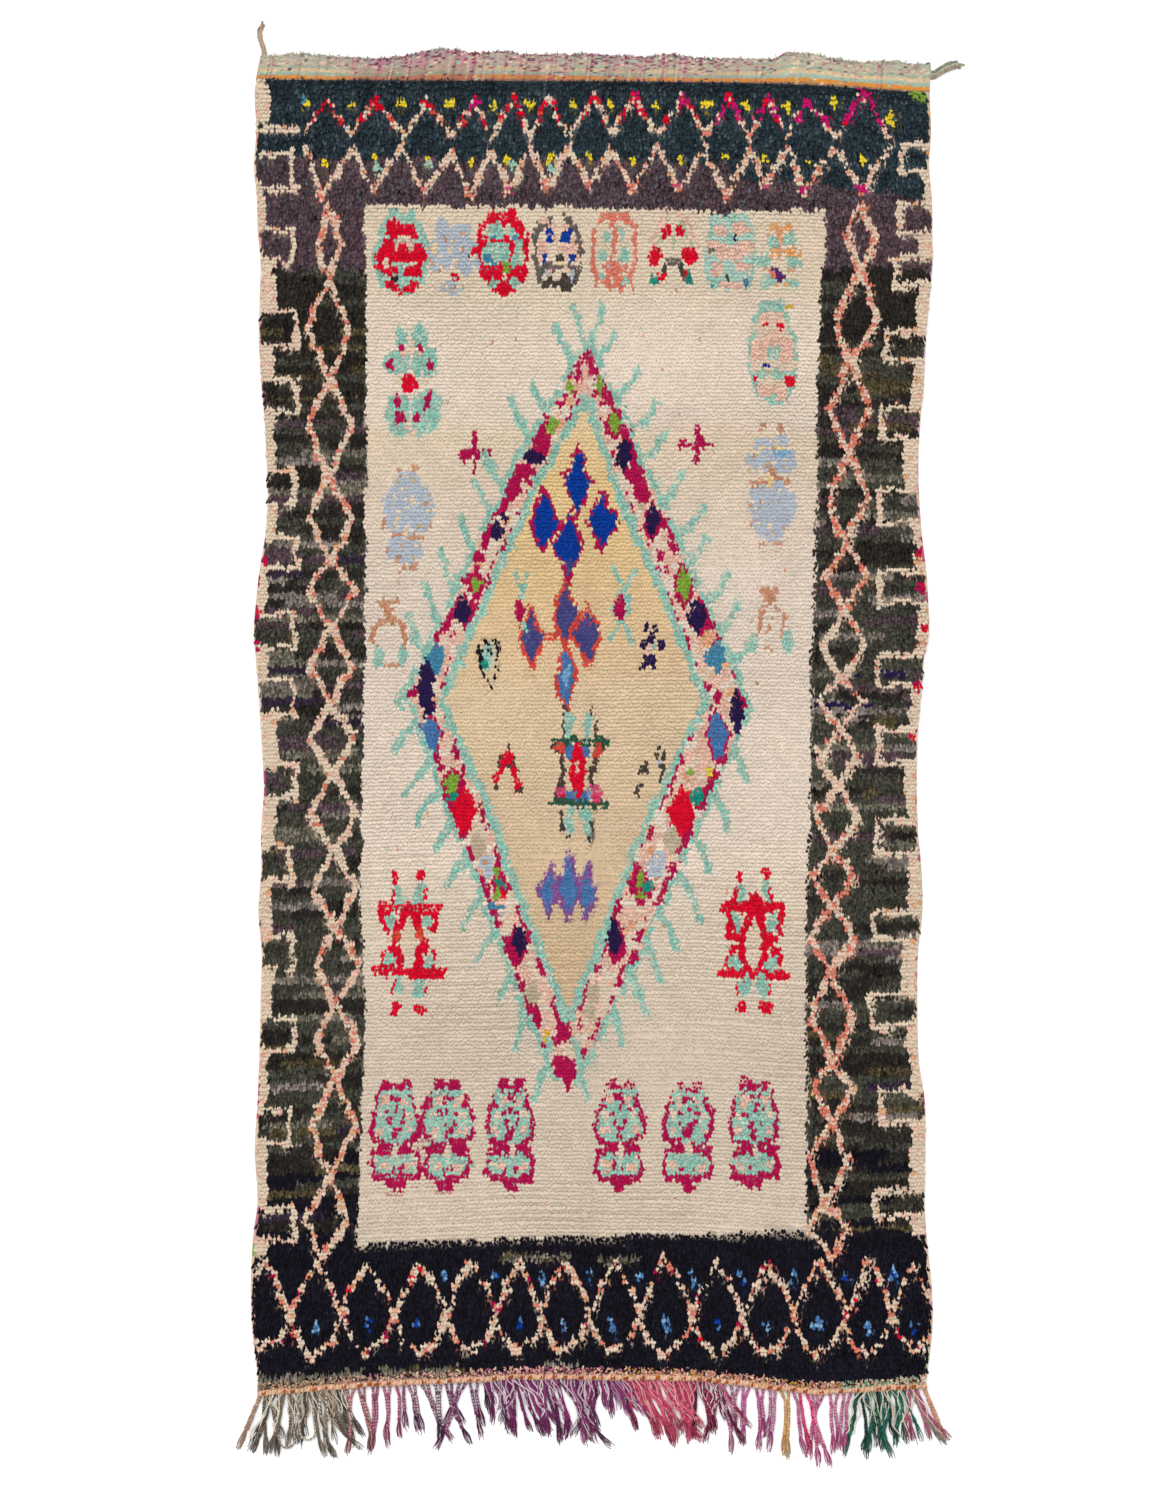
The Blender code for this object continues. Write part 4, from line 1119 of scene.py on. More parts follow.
def makePile(name, mask):
    # Each end is a root, a ring of four points where it is widest, and a tip
    row, column = np.nonzero(mask)
    count = len(row)
    kind = yarnKind[row, column]
    line = rowLine[row, column]
    tipHeight, half, bellyAt, flatness, paintedShadeStrength, wild = (
        np.array(pile[key])[kind] for key in ("tips", "halves", "bellyAt", "flatness", "paintedShadeStrength", "wild")
    )
    wild = wild * np.where(row < 4, 0.5, 1.0)
    fromTop = rows - 1 - row
    x = rootX[row, column] + draw.normal(0, 0.5 * mm, count)
    y = rootY[row, column] + draw.normal(0, 0.9 * mm, count) * wild
    # the first and last rows are ragged, and the ends of the outer columns lean outwards
    y += np.where(fromTop < 2, draw.uniform(-1, 7, count) * mm, 0.0)
    y += np.where(row < 2, draw.uniform(-5, 3, count) * mm, 0.0)
    reach = pile["reach"] * (1 + draw.normal(0, 0.07, count) * wild) * (1 - 0.08 * line)
    reach *= np.interp(fromTop, (0, 3), (0.42, 1.0)) * np.where(row < 2, draw.uniform(1.0, 1.3, count), 1.0)
    outward = (column > columns - 3).astype(int) - (column < 2)
    aside = draw.normal(0, 1.5 * mm, count) * wild + outward * draw.uniform(0, 4, count) * mm
    lift = lumps(x, y) + draw.normal(0, 0.35 * mm, count) * wild
    lift -= pile["rowDip"] * line + pile["creaseDip"] * crease[row, column]
    half = half * (1 + draw.normal(0, 0.08, count) * wild)
    points = np.empty((count, 6, 3))
    points[:, 0] = np.stack([x, y, np.full(count, pile["root"])], axis=-1)
    for k, angle in enumerate(np.radians((90, 180, 270, 0)), 1):
        points[:, k, 0] = x + aside * 0.6 + half * math.cos(angle)
        points[:, k, 1] = y - reach * bellyAt
        points[:, k, 2] = pile["belly"] + lift + half * math.sin(angle) * flatness
    points[:, 5] = np.stack([x + aside, y - reach, tipHeight + lift], axis=-1)
    start = np.arange(count)[:, None] * 6
    faces = [start + (0, after, here) for here, after in ((1, 2), (4, 1))]
    faces += [start + (5, here, after) for here, after in ((1, 2), (2, 3), (3, 4), (4, 1))]
    own = endColours[row, column] * (1 + draw.normal(0, 0.02, count) * wild)[:, None]
    # painted shade on each end, darker at the root, sides and underside
    paintedShade = 1 - paintedShadeStrength[:, None] * np.array(pile["paintedShade"])
    # painted shadow on the tips in the lines between rows
    paintedShade[:, 5] *= 1 - pile["rowLineShadow"] * np.clip(line, 0, 1)
    colours = own[:, None] * paintedShade[..., None]
    piece = makePiece(name, points, faces, colours, (creamWool, darkWool, ragYarn), np.tile(kind, 6))
    return piece


crossTop = alongAt >= tableAt(field["top"], acrossAt)
crossFoot = alongAt <= tableAt(field["foot"], acrossAt)
sideBorder = ~crossTop & ~crossFoot & ~inField
lowerThird, upperThird = 128, 218  # rows where the field's pile is parted into three pieces
pilePieces = [
    makePile("pileTopBorder", crossTop),
    makePile("pileFootBorder", crossFoot & ~crossTop),
    makePile("pileLeftBorder", sideBorder & (acrossAt < 0)),
    makePile("pileRightBorder", sideBorder & (acrossAt >= 0)),
    makePile("pileFieldUpper", inField & (rowNumbers >= upperThird)),
    makePile("pileFieldMiddle", inField & (rowNumbers >= lowerThird) & (rowNumbers < upperThird)),
    makePile("pileFieldLower", inField & (rowNumbers < lowerThird)),
]
print("pile knotted,", sum(len(piece.data.vertices) for piece in pilePieces) // 6, "ends")


# The ground weave under the pile. Its back shows every knot as a small square of the same yarn
ground = {
    "columns": 190,
    "back": 0.35 * mm,
    "backShade": 0.9,
    "relief": 0.3 * mm,
    "edge": 3.6 * mm,
    "bodies": (9.6 * mm, 7.4 * mm, 8.8 * mm),  # knots and loops under the ends of cream, dark and dyed yarn
    "shade": 0.92,
    "darkShade": 0.45,
}


def gridFaces(index):
    corners = (index[:-1, :-1], index[:-1, 1:], index[1:, 1:], index[1:, :-1])
    return np.stack(corners, axis=-1).reshape(-1, 4)


def makeGround():
    lines = np.arange(cloth["rows"] + 1) / cloth["rows"]
    stops = np.linspace(0, 1, ground["columns"] + 1)
    left, right = rowEnds(lines)
    x = mix(left[:, None] + 2 * mm, right[:, None] - 2 * mm, stops[None, :])
    y = pileLine(x, lines[:, None])
    footX = mix(footXs[0] + 1 * mm, footXs[-1] - 1 * mm, stops)
    x = np.vstack([footX[None, :], x])
    y = np.vstack([footLine(footX)[None, :] + 0.2 * mm, y])
    height, width = x.shape
    checker = (np.arange(height)[:, None] + np.arange(width)[None, :]) % 2
    lower = np.stack([x, y, ground["back"] + ground["relief"] * checker], axis=-1)
    row = np.clip((np.arange(height) - 1) * 2, 0, rows - 1)
    column = np.clip(np.arange(width) * columns // width, 0, columns - 1)
    here = np.ix_(row, column)
    above = np.ix_(np.clip(row + 1, 0, rows - 1), column)
    top = np.array(ground["bodies"])[yarnKind][above]
    top[:2] = top[-1:] = ground["edge"]
    top[:, :1] = top[:, -1:] = ground["edge"]
    upper = np.stack([x, y, top], axis=-1)
    lowerIndex = np.arange(height * width).reshape(height, width)
    upperIndex = height * width + lowerIndex
    faces = [gridFaces(lowerIndex.T), gridFaces(upperIndex)]
    walls = (
        (lowerIndex[0], upperIndex[0]),
        (lowerIndex[-1][::-1], upperIndex[-1][::-1]),
        (lowerIndex[:, 0][::-1], upperIndex[:, 0][::-1]),
        (lowerIndex[:, -1], upperIndex[:, -1]),
    )
    faces += [gridFaces(np.stack([low, high])) for low, high in walls]
    backs = endColours[here] * ground["backShade"]
    covered = endColours[above]
    covered *= np.where(isDark, ground["darkShade"], ground["shade"])[here][..., None]
    colours = np.concatenate([backs.reshape(-1, 3), covered.reshape(-1, 3)])
    points = np.concatenate([lower.reshape(-1, 3), upper.reshape(-1, 3)])
    piece = makePiece("groundWeave", points, faces, colours, (flatWeave,))
    return piece


groundWeave = makeGround()
print("ground woven")

# The flat-woven heading, with weft stripes and warp that shows through as streaks
heading = {
    "wefts": 32,
    "threads": 360,
    "relief": 0.45 * mm,
    "top": 4.4 * mm,
    # share of the heading's height from the pile up, weft yarn; the rosy wefts lie left of the middle
    "stripes": (
        (0.00, "#8C6E58"), (0.06, "#9C7452"), (0.08, "#CC8430"), (0.19, "#C98236"), (0.22, "#93AA9A"),
        (0.33, "#98AA98"), (0.36, "#CBB08A"), (0.48, "#C6AC88"), (0.51, "#8AA08C"), (0.57, "#90A28C"),
        (0.60, "#B5A28C"), (0.75, "#A8A08C"), (1.00, "#98988A"),
    ),
    "rosy": (
        (0.00, "#84564A"), (0.08, "#9C6248"), (0.19, "#A46C4E"), (0.24, "#8E8B7A"), (0.34, "#9A8878"),
        (0.60, "#B08C86"), (1.00, "#A08088"),
    ),
    # metres across, how rosy the stripes are, and how much of the plum warp shows as specks
    "rosyAt": (
        (-0.75, 0.0), (-0.60, 0.15), (-0.50, 1.1), (-0.30, 1.1), (-0.24, 0.6), (0.28, 0.55), (0.42, 0.1),
        (0.76, 0.0),
    ),
    "plumAt": (
        (-0.75, 0.05), (-0.58, 0.15), (-0.48, 0.6), (-0.25, 0.9), (0.20, 0.75), (0.35, 0.3), (0.45, 0.12),
        (0.76, 0.12),
    ),
    "specksAt": ((0.0, 0.05), (0.35, 0.10), (0.55, 0.32), (0.80, 0.5), (1.0, 0.6)),
    "speckStrength": 0.88,
    "plumSpecks": ("#541A3A", "#7C3058", "#9C3860", "#6A4058", "#CDB49C", "#93AC94"),
    "quietSpecks": ("#8A8A7C", "#98A898", "#BCA28C", "#CDBCA4", "#9C7C74", "#A6AC96"),
    "streaks": ("#8C4468", "#6A2448", "#B4587A", "#7C8C78", "#C8B494"),  # warps that show
    "streakShare": 0.45,
    "grain": 0.10,
    "frays": 420,
    "frayLength": 11.0 * mm,
    "frayHalf": 1.2 * mm,
    "frayHeight": 3.4 * mm,
}


def stripeColours(table, shares):
    keys = [row[0] for row in table]
    values = np.array([linearColour(row[1]) for row in table])
    return np.stack([np.interp(shares, keys, values[:, k]) for k in range(3)], axis=-1)


def pickColours(values, shape):
    return np.array([linearColour(value) for value in values])[draw.integers(0, len(values), shape)]


def makeHeading():
    wefts, threads = heading["wefts"], heading["threads"]
    shares = np.linspace(0, 1, wefts + 1)
    stops = np.linspace(0, 1, threads + 1)
    x = np.empty((wefts + 1, threads + 1))
    y = np.empty_like(x)
    for k, share in enumerate(shares):
        nearY = mix(pileTopLine(0.0), headingLine(0.0), share)
        x[k] = mix(float(sideLine("left", nearY)), float(sideLine("right", nearY)), stops)
        y[k] = mix(pileTopLine(x[k]) - 3 * mm, headingLine(x[k]), share)
    ragged = draw.normal(0, 1.8 * mm, threads + 1)
    y[-1] += ragged
    y[-2] += ragged * 0.5
    checker = (np.arange(wefts + 1)[:, None] + np.arange(threads + 1)[None, :]) % 2
    z = heading["top"] + heading["relief"] * (checker - 0.5) * 2 + draw.normal(0, 0.15 * mm, x.shape)
    z += 0.5 * mm * np.sin(shares * math.pi * 8)[:, None]
    upper = np.stack([x, y, z], axis=-1)
    lower = np.stack([x, y, np.full_like(x, 0.4 * mm)], axis=-1)[[0, -1]]
    height, width = x.shape
    up = np.arange(height * width).reshape(height, width)
    down = height * width + np.arange(2 * width).reshape(2, width)
    faces = [
        gridFaces(up),
        np.stack([down[0, :-1], down[1, :-1], down[1, 1:], down[0, 1:]], -1),
        np.stack([down[0, :-1], down[0, 1:], up[0, 1:], up[0, :-1]], -1),
        np.stack([down[1, 1:], down[1, :-1], up[-1, :-1], up[-1, 1:]], -1),
        np.array([[down[0, 0], *up[:, 0], down[1, 0]]]),
        np.array([[down[1, -1], *up[::-1, -1], down[0, -1]]]),
    ]
    wavy = np.clip(shares[:, None] + 0.03 * np.sin(x * 9) + draw.normal(0, 0.012, x.shape), 0, 1)
    patchy = draw.uniform(0.5, 1.3, threads // 9 + 2)[np.arange(threads + 1) // 9]
    rosy = np.clip(tableAt(heading["rosyAt"], x) * patchy, 0, 1)[..., None]
    colours = mix(stripeColours(heading["stripes"], wavy), stripeColours(heading["rosy"], wavy), rosy)
    plum = (draw.random(x.shape) < tableAt(heading["plumAt"], x))[..., None]
    plumSpecks = pickColours(heading["plumSpecks"], x.shape)
    specks = np.where(plum, plumSpecks, pickColours(heading["quietSpecks"], x.shape))
    # a speck is two warps wide and two wefts long
    blocks = np.ix_(np.arange(wefts + 1) // 2 * 2, np.arange(threads + 1) // 2 * 2)
    isSpeck = draw.random(x.shape)[blocks] < tableAt(heading["specksAt"], wavy)
    colours = mix(colours, specks[blocks], heading["speckStrength"] * isSpeck[..., None])
    hasStreak = draw.random(threads + 1) < heading["streakShare"] * tableAt(heading["plumAt"], x[0])
    strength = np.clip(draw.normal(0.4, 0.2, x.shape), 0, 0.9) * hasStreak[None, :]
    colours = mix(colours, pickColours(heading["streaks"], threads + 1)[None, :, :], strength[..., None])
    colours *= (1 + draw.normal(0, heading["grain"], x.shape))[..., None]
    allColours = np.concatenate([colours.reshape(-1, 3), colours[[0, -1]].reshape(-1, 3)])
    points = np.concatenate([upper.reshape(-1, 3), lower.reshape(-1, 3)])
    piece = makePiece("headingWeave", points, faces, allColours, (flatWeave,))
    return piece


headingWeave = makeHeading()


onFloor = 0.25 * mm  # height of a strand's underside where it lies on the floor


# Cords and loose ends: a many-sided section swept along a path, with plies that wind round it
def sweep(path, radius, sides, lobes, turnEvery, coloursOfPlies, flatten=0.9, floor=onFloor):
    path = np.asarray(path, dtype=float)
    along = np.gradient(path, axis=0)
    along /= np.linalg.norm(along, axis=1)[:, None] + 1e-12
    aside = np.stack([along[:, 1], -along[:, 0]], axis=1)
    steps = np.r_[0, np.cumsum(np.linalg.norm(np.diff(path, axis=0), axis=1))]
    angles = np.arange(sides) * 2 * math.pi / sides
    twist = 2 * math.pi * steps / turnEvery
    phase = angles[None, :] - twist[:, None]
    bulge = 1 + 0.20 * np.cos(lobes * phase)
    size = np.asarray(radius)[:, None] * bulge
    points = np.empty((len(path), sides, 3))
    points[..., 0] = path[:, None, 0] + aside[:, None, 0] * size * np.cos(angles)
    points[..., 1] = path[:, None, 1] + aside[:, None, 1] * size * np.cos(angles)
    lift = np.asarray(radius)[:, None] * flatten
    points[..., 2] = np.maximum(lift + size * flatten * np.sin(angles), 0.0) + floor
    ply = np.floor((phase / (2 * math.pi) % 1.0) * len(coloursOfPlies)).astype(int) % len(coloursOfPlies)
    colours = np.asarray(coloursOfPlies)[ply]
    index = np.arange(len(path) * sides).reshape(len(path), sides)
    beside = np.roll(index, -1, axis=1)
    quads = np.stack([index[:-1], index[1:], beside[1:], beside[:-1]], axis=-1).reshape(-1, 4)
    caps = [np.array([index[0]]), np.array([index[-1][::-1]])]
    return points.reshape(-1, 3), [quads, *caps], colours.reshape(-1, 3)


def joinParts(parts):
    points, faces, colours, start = [], [], [], 0
    for part in parts:
        points.append(part[0])
        faces += [group + start for group in part[1]]
        colours.append(part[2])
        start += len(part[0])
    return np.concatenate(points), faces, np.concatenate(colours)


def makeYarns(name, parts):
    points, faces, colours = joinParts(parts)
    return makePiece(name, points, faces, colours, (pliedYarn,))


def smoothPath(points, spacing):
    # A smooth curve through all the points
    points = np.asarray(points, dtype=float)
    padded = np.vstack([points[0] * 2 - points[1], points, points[-1] * 2 - points[-2]])
    fine = []
    for k in range(1, len(padded) - 2):
        before, start, end, after = padded[k - 1:k + 3]
        square = 2 * before - 5 * start + 4 * end - after
        cube = 3 * start - before - 3 * end + after
        pieces = max(int(round(np.linalg.norm(end - start) / spacing)), 1)
        for share in np.arange(pieces) / pieces:
            bend = square * share * share + cube * share ** 3
            fine.append(0.5 * (2 * start + (end - before) * share + bend))
    fine.append(points[-1])
    return np.array(fine)


def spreadApart(places, least):
    # Strands that lie too close push each other aside, over and over
    for _ in range(40):
        for k in range(len(places) - 1):
            short = least - (places[k + 1] - places[k])
            if short > 0:
                places[k] -= short / 2
                places[k + 1] += short / 2
    return places


def strandPlaces():
    jitter = random.Random(8)
    clumps = []
    while len(clumps) < fringe["strands"]:
        size = jitter.choice(fringe["clumpSizes"])
        clumps += [len(clumps) + (size - 1) / 2] * size
    pull = [jitter.uniform(*fringe["clumpPull"]) for _ in roots]
    table = []
    for distance in fringe["stations"]:
        share = distance / fringe["stations"][-1]
        places = []
        for k, root in enumerate(roots):
            clump = roots[min(int(clumps[k]), fringe["strands"] - 1)]
            slope = sum(lean[1] * math.sin(lean[0] * root) for lean in fringe["leans"])
            sway = fringe["sway"] * math.sin(fringe["swayTurns"] * distance + fringe["leans"][-1][0] * root)
            places.append(mix(root, clump, pull[k] * share) + slope * distance + sway)
        places[0] = roots[0] - fringe["cornerLean"] * share
        places[-1] = roots[-1] + fringe["cornerLean"] * share
        table.append(spreadApart(places, fringe["width"] + fringe["apart"]))
    return table


def pathTo(reach, stations, start):
    path = []
    before = stations[0]
    for here in stations[1:]:
        if reach <= here[0] + fringe["leastStep"]:
            share = (reach - before[0]) / (here[0] - before[0])
            path.append((mix(before[1], here[1], share), start - reach))
            return path
        path.append((here[1], start - here[0]))
        before = here
    return path


# across from, to in mm, whether strands lie close there, and the dark and pale yarns twisted in them
fringeYarns = (
    (-760, -746, False, ("#8C705C",), ("#B89A84",)),
    (-746, -560, True, ("#665A4E", "#463C34", "#7C7062"), ("#C2B6A4", "#A89A88", "#D2C8B8")),
    (-560, -500, False, ("#A02454", "#861C44", "#6E5A50"), ("#C86C84", "#BE9C96")),
    (-500, -440, False, ("#88345A", "#702450"), ("#BE969E", "#AE8490")),
    (-440, -310, False, ("#661E50", "#34203A", "#822E60"), ("#C0A8AC", "#AE8898", "#CCBCBA")),
    (-310, -250, False, ("#521240", "#701A56"), ("#9E7C8E", "#B29AA6")),
    (-250, 66, True, ("#66204F", "#862C66", "#3E2036", "#7C3864"), ("#B8A0AC", "#CEBCC2", "#A07C92")),
    (66, 220, True, ("#A83450", "#BC4A60", "#8C2A48"), ("#D88490", "#CE9898", "#C26472")),
    (220, 290, True, ("#34182A", "#561A34", "#A03854"), ("#B87888", "#CCB4B4")),
    (290, 420, False, ("#90386A", "#9E4A7A", "#804062"), ("#C696A8", "#BE829A", "#BEA6A8")),
    (420, 440, False, ("#AC8450",), ("#CCA67A",)),
    (440, 452, False, ("#A04A78",), ("#C08AA0",)),
    (452, 482, False, ("#BC1452", "#C82060"), ("#CE7092", "#BE6082")),
    (482, 590, False, ("#903062", "#A64674"), ("#CA9AAC", "#BE929E")),
    (590, 690, True, ("#164538", "#1C5848", "#1E2C28", "#2A6654"), ("#C0B6A2", "#94A08A", "#D6CAB8")),
    (690, 740, True, ("#787266", "#A8586E", "#8C4860"), ("#D0BEAE", "#C29494")),
    (740, 760, False, ("#A87460",), ("#C69C84",)),
)
# across, how far the strands lie over to the right for each unit of reach
fringeDrift = (
    (-757, 0.0), (-690, 0.0), (-630, 0.20), (-566, 0.34), (-550, 0.10), (-480, 0.12), (-440, -0.12),
    (-400, 0.0), (-300, 0.02), (-235, 0.30), (-60, 0.38), (25, 0.0), (40, 0.42), (120, 0.30), (210, 0.05),
    (300, 0.08), (440, 0.12), (465, 0.26), (500, 0.24), (525, -0.20), (575, 0.10), (600, -0.06),
    (700, 0.10), (757, 0.2),
)
loose = {
    "half": 3.1 * mm,  # half a strand's thickness, and a corner one's
    "cornerHalf": 4.2 * mm,
    "secondHalf": 3.0 * mm,
    "turn": 7.0 * mm,
    "opens": 44.0 * mm,  # from the end, where a strand comes apart
    "yarns": 7,
    "yarnHalf": 1.3 * mm,
    "spread": 7.0 * mm,
    "pairHalf": 3.3 * mm,  # single strands lie two by two
    "pairLean": 0.15,
    "pairBend": 0.8,
    "closeLean": 0.10,
    "strays": 2,  # pale yarns that lie over each close strand
    "strayHalf": 1.5 * mm,
    "strayHeight": 7.0 * mm,
    "lift": 1.4 * mm,  # pairs lie at one of three heights, and second strands over them
    "secondLift": 3.0 * mm,
    "spacing": 3.6 * mm,  # between the points of a strand
    "loopHalf": 2.3 * mm,
    "loopHeight": 5.0 * mm,
    "loopTurn": 9.0 * mm,
}
# across from, across to, reach, in mm: strands that turn back up as loops
fringeLoops = ((-706, -676, 122), (-659, -630, 108), (-612, -600, 70))


def stretchAt(table, x):
    # The row of a table whose stretch of the foot holds x
    return next((row for row in table if x < row[1] * mm), table[-1])


def pickYarn(looks, values):
    return linearColour(looks.choice(values))


def strandParts(path, radius, plies, jitter, shape, lift=0.0):
    # A twisted strand that opens into loose yarns near its end
    strandSides = 7
    steps = np.r_[0, np.cumsum(np.linalg.norm(np.diff(path, axis=0), axis=1))]
    opens = max(steps[-1] - shape["opens"], steps[-1] * 0.35)
    body = path[:max(int(np.searchsorted(steps, opens)) + 2, 4)]
    share = np.linspace(0, 1, len(body))
    radii = radius * (1 + 0.30 * share) * (1 + 0.10 * np.sin(share * 23 + path[0][0] * 900))
    radii[-1] *= 0.7
    points, faces, colours = sweep(body, radii, strandSides, 3, shape["turn"], plies, floor=onFloor + lift)
    fuzz = np.array([jitter.uniform(0.72, 1.2) for _ in range(len(body))])
    parts = [(points, faces, colours * np.repeat(fuzz, strandSides)[:, None])]
    side = np.gradient(path, axis=0)
    side = np.stack([side[:, 1], -side[:, 0]], axis=1) / (np.linalg.norm(side, axis=1)[:, None] + 1e-12)
    first = max(int(np.searchsorted(steps, opens)) - 1, 0)
    for k in range(shape["yarns"]):
        place = (k + 0.5) / shape["yarns"] * 2 - 1 + jitter.uniform(-0.1, 0.1)
        stops = np.linspace(0, 1, len(path) - first)
        wave = jitter.uniform(0.4, 1.4) * mm * np.sin(stops * jitter.uniform(5, 11) + jitter.uniform(0, 6))
        aside = place * shape["spread"] * np.sin(stops * jitter.uniform(1.5, 2.6)) + wave * stops
        yarn = path[first:] + side[first:] * aside[:, None]
        beyond = jitter.uniform(-0.2, 0.25) * shape["opens"]
        ending = (yarn[-1] - yarn[-2]) / (np.linalg.norm(yarn[-1] - yarn[-2]) + 1e-12)
        if beyond > 0:
            yarn = np.vstack([yarn, yarn[-1] + ending * beyond])
        else:
            yarn = yarn[:int(beyond / loose["spacing"]) or None]
        if len(yarn) < 4:
            continue
        thin = shape["yarnHalf"] * np.linspace(1.15, 0.6, len(yarn))
        colour = np.array(plies[(0, 1, 0, 2)[k % 4] % len(plies)]) * jitter.uniform(0.8, 1.15)
        height = onFloor + lift + jitter.uniform(0, 2.4) * mm
        parts.append(sweep(yarn, thin, 3, 1, 1.0, [colour], floor=height))
    return parts


def frontAt(x):
    # The lower edge of the twined cord, where the strands come out
    return float(footLine(x)) - cloth["parting"] - fringe["cordWidth"]


def secondStrand(path, k, front, below, darks, pales, looks):
    # Where strands lie close, a second one lies over the gap, with pale yarns astray on it
    second = path.copy()
    shift = looks.uniform(0.4, 0.6) * (roots[k + 1] - roots[k])
    sway = looks.gauss(0, 0.16) * below + looks.gauss(0, 1.0) * below ** 2
    waves = looks.uniform(1, 4) * mm * np.sin(path[:, 1] * looks.uniform(40, 90) + k)
    second[:, 0] += shift + sway + waves
    second[:, 1] = front + (second[:, 1] - front) * looks.uniform(0.7, 1.0)
    plies = [pickYarn(looks, darks) for _ in range(2)]
    opened = {**loose, "yarns": 4}
    parts = strandParts(second, loose["secondHalf"], plies, looks, opened, loose["secondLift"])
    for _ in range(loose["strays"]):
        stray = second.copy()
        aside = looks.uniform(-9, 9) * mm
        waves = looks.uniform(2, 6) * mm * np.sin(path[:, 1] * looks.uniform(50, 130) + looks.uniform(0, 6))
        stray[:, 0] += aside + waves
        stray = stray[:max(int(len(stray) * looks.uniform(0.5, 0.95)), 5)]
        radii = np.full(len(stray), loose["strayHalf"])
        parts.append(sweep(stray, radii, 4, 1, 1.0, [pickYarn(looks, pales)], floor=loose["strayHeight"]))
    return parts


def makeFringe():
    reachJitter = random.Random(5)
    looks = random.Random(77)
    places = strandPlaces()
    parts = []
    last = fringe["strands"] - 1
    for k, root in enumerate(roots):
        front = frontAt(root)
        reach = float(tableAt(fringe["reach"], root / mm)) * mm * reachJitter.uniform(0.90, 1.04)
        drift = float(tableAt(fringeDrift, root / mm))
        _, _, close, darks, pales = stretchAt(fringeYarns, root)
        paired = not close and 1 < k < last - 1
        hand = random.Random(400 + k // 2) if paired else looks  # both strands of a pair are made alike
        plies = [pickYarn(hand, values) for values in (darks, darks, darks if close else pales)]
        lean = hand.gauss(0, loose["pairLean"] if paired else loose["closeLean"])
        bend = hand.gauss(0, loose["pairBend"])
        stations = [(0.0, root), *((far, row[k]) for far, row in zip(fringe["stations"], places))]
        route = [(root, front + 4 * mm), (root, front), *pathTo(reach, stations, front)]
        path = smoothPath(route, loose["spacing"])
        below = np.clip(front - path[:, 1], 0, None)
        if paired:
            partner = k + 1 if k % 2 == 0 else k - 1
            together = np.clip(below / (24 * mm), 0, 1)
            middle = (root + roots[partner]) / 2
            path[:, 0] += (middle - root + math.copysign(loose["pairHalf"], root - middle)) * together
        if 0 < k < last:
            path[:, 0] += (drift + lean) * below + bend * below ** 2
        half = loose["cornerHalf" if k in (0, last) else "half"]
        parts += strandParts(path, half, plies, looks, loose, loose["lift"] * (k // 2 % 3))
        if close and 0 < k < last - 1:
            parts += secondStrand(path, k, front, below, darks, pales, looks)
    for start, end, reach in fringeLoops:
        _, _, _, darks, pales = stretchAt(fringeYarns, start * mm)
        turn = (
            (start, 0), (start - 3, -reach * 0.5), (start + 2, -reach * 0.9),
            ((start + end) / 2 + 4, -reach),
            (end + 5, -reach * 0.88), (end + 1, -reach * 0.5), (end, 0),
        )
        path = smoothPath(np.array(turn) * mm + (0, frontAt(start * mm) + 3 * mm), loose["spacing"])
        plies = [pickYarn(looks, darks), pickYarn(looks, pales)]
        radii = np.full(len(path), loose["loopHalf"])
        parts.append(sweep(path, radii, 6, 2, loose["loopTurn"], plies, floor=loose["loopHeight"]))
    piece = makeYarns("fringeStrands", parts)
    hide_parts("fringe")
    return piece


fringeStrands = makeFringe()
print("fringe twisted,", len(fringeStrands.data.polygons), "faces")


# Short frayed warp ends along the top of the heading
def makeHeadingFrays():
    looks = random.Random(23)
    parts = []
    left, right = headingEdge[0][0] * mm + 4 * mm, headingEdge[-1][0] * mm - 4 * mm
    for _ in range(heading["frays"]):
        x = looks.uniform(left, right)
        y = float(headingLine(x)) - abs(looks.gauss(0, 5.0)) * mm
        length = heading["frayLength"] * looks.uniform(0.4, 1.0)
        lean = looks.gauss(0, 0.8)
        curl = looks.uniform(-0.5, 0.5)
        stops = np.linspace(0, 1, 4)
        across = x + length * (math.sin(lean) * stops + curl * stops ** 2 * 0.5)
        along = y + length * math.cos(lean) * stops - 2 * mm
        plum = looks.random() < float(tableAt(heading["plumAt"], x))
        colour = pickYarn(looks, heading["plumSpecks" if plum else "quietSpecks"])
        path = np.stack([across, along], axis=1)
        radii = heading["frayHalf"] * np.linspace(1, 0.6, 4)
        parts.append(sweep(path, radii, 3, 1, 1.0, [colour], floor=heading["frayHeight"]))
    piece = makeYarns("headingFrays", parts)
    return piece


headingFrays = makeHeadingFrays()

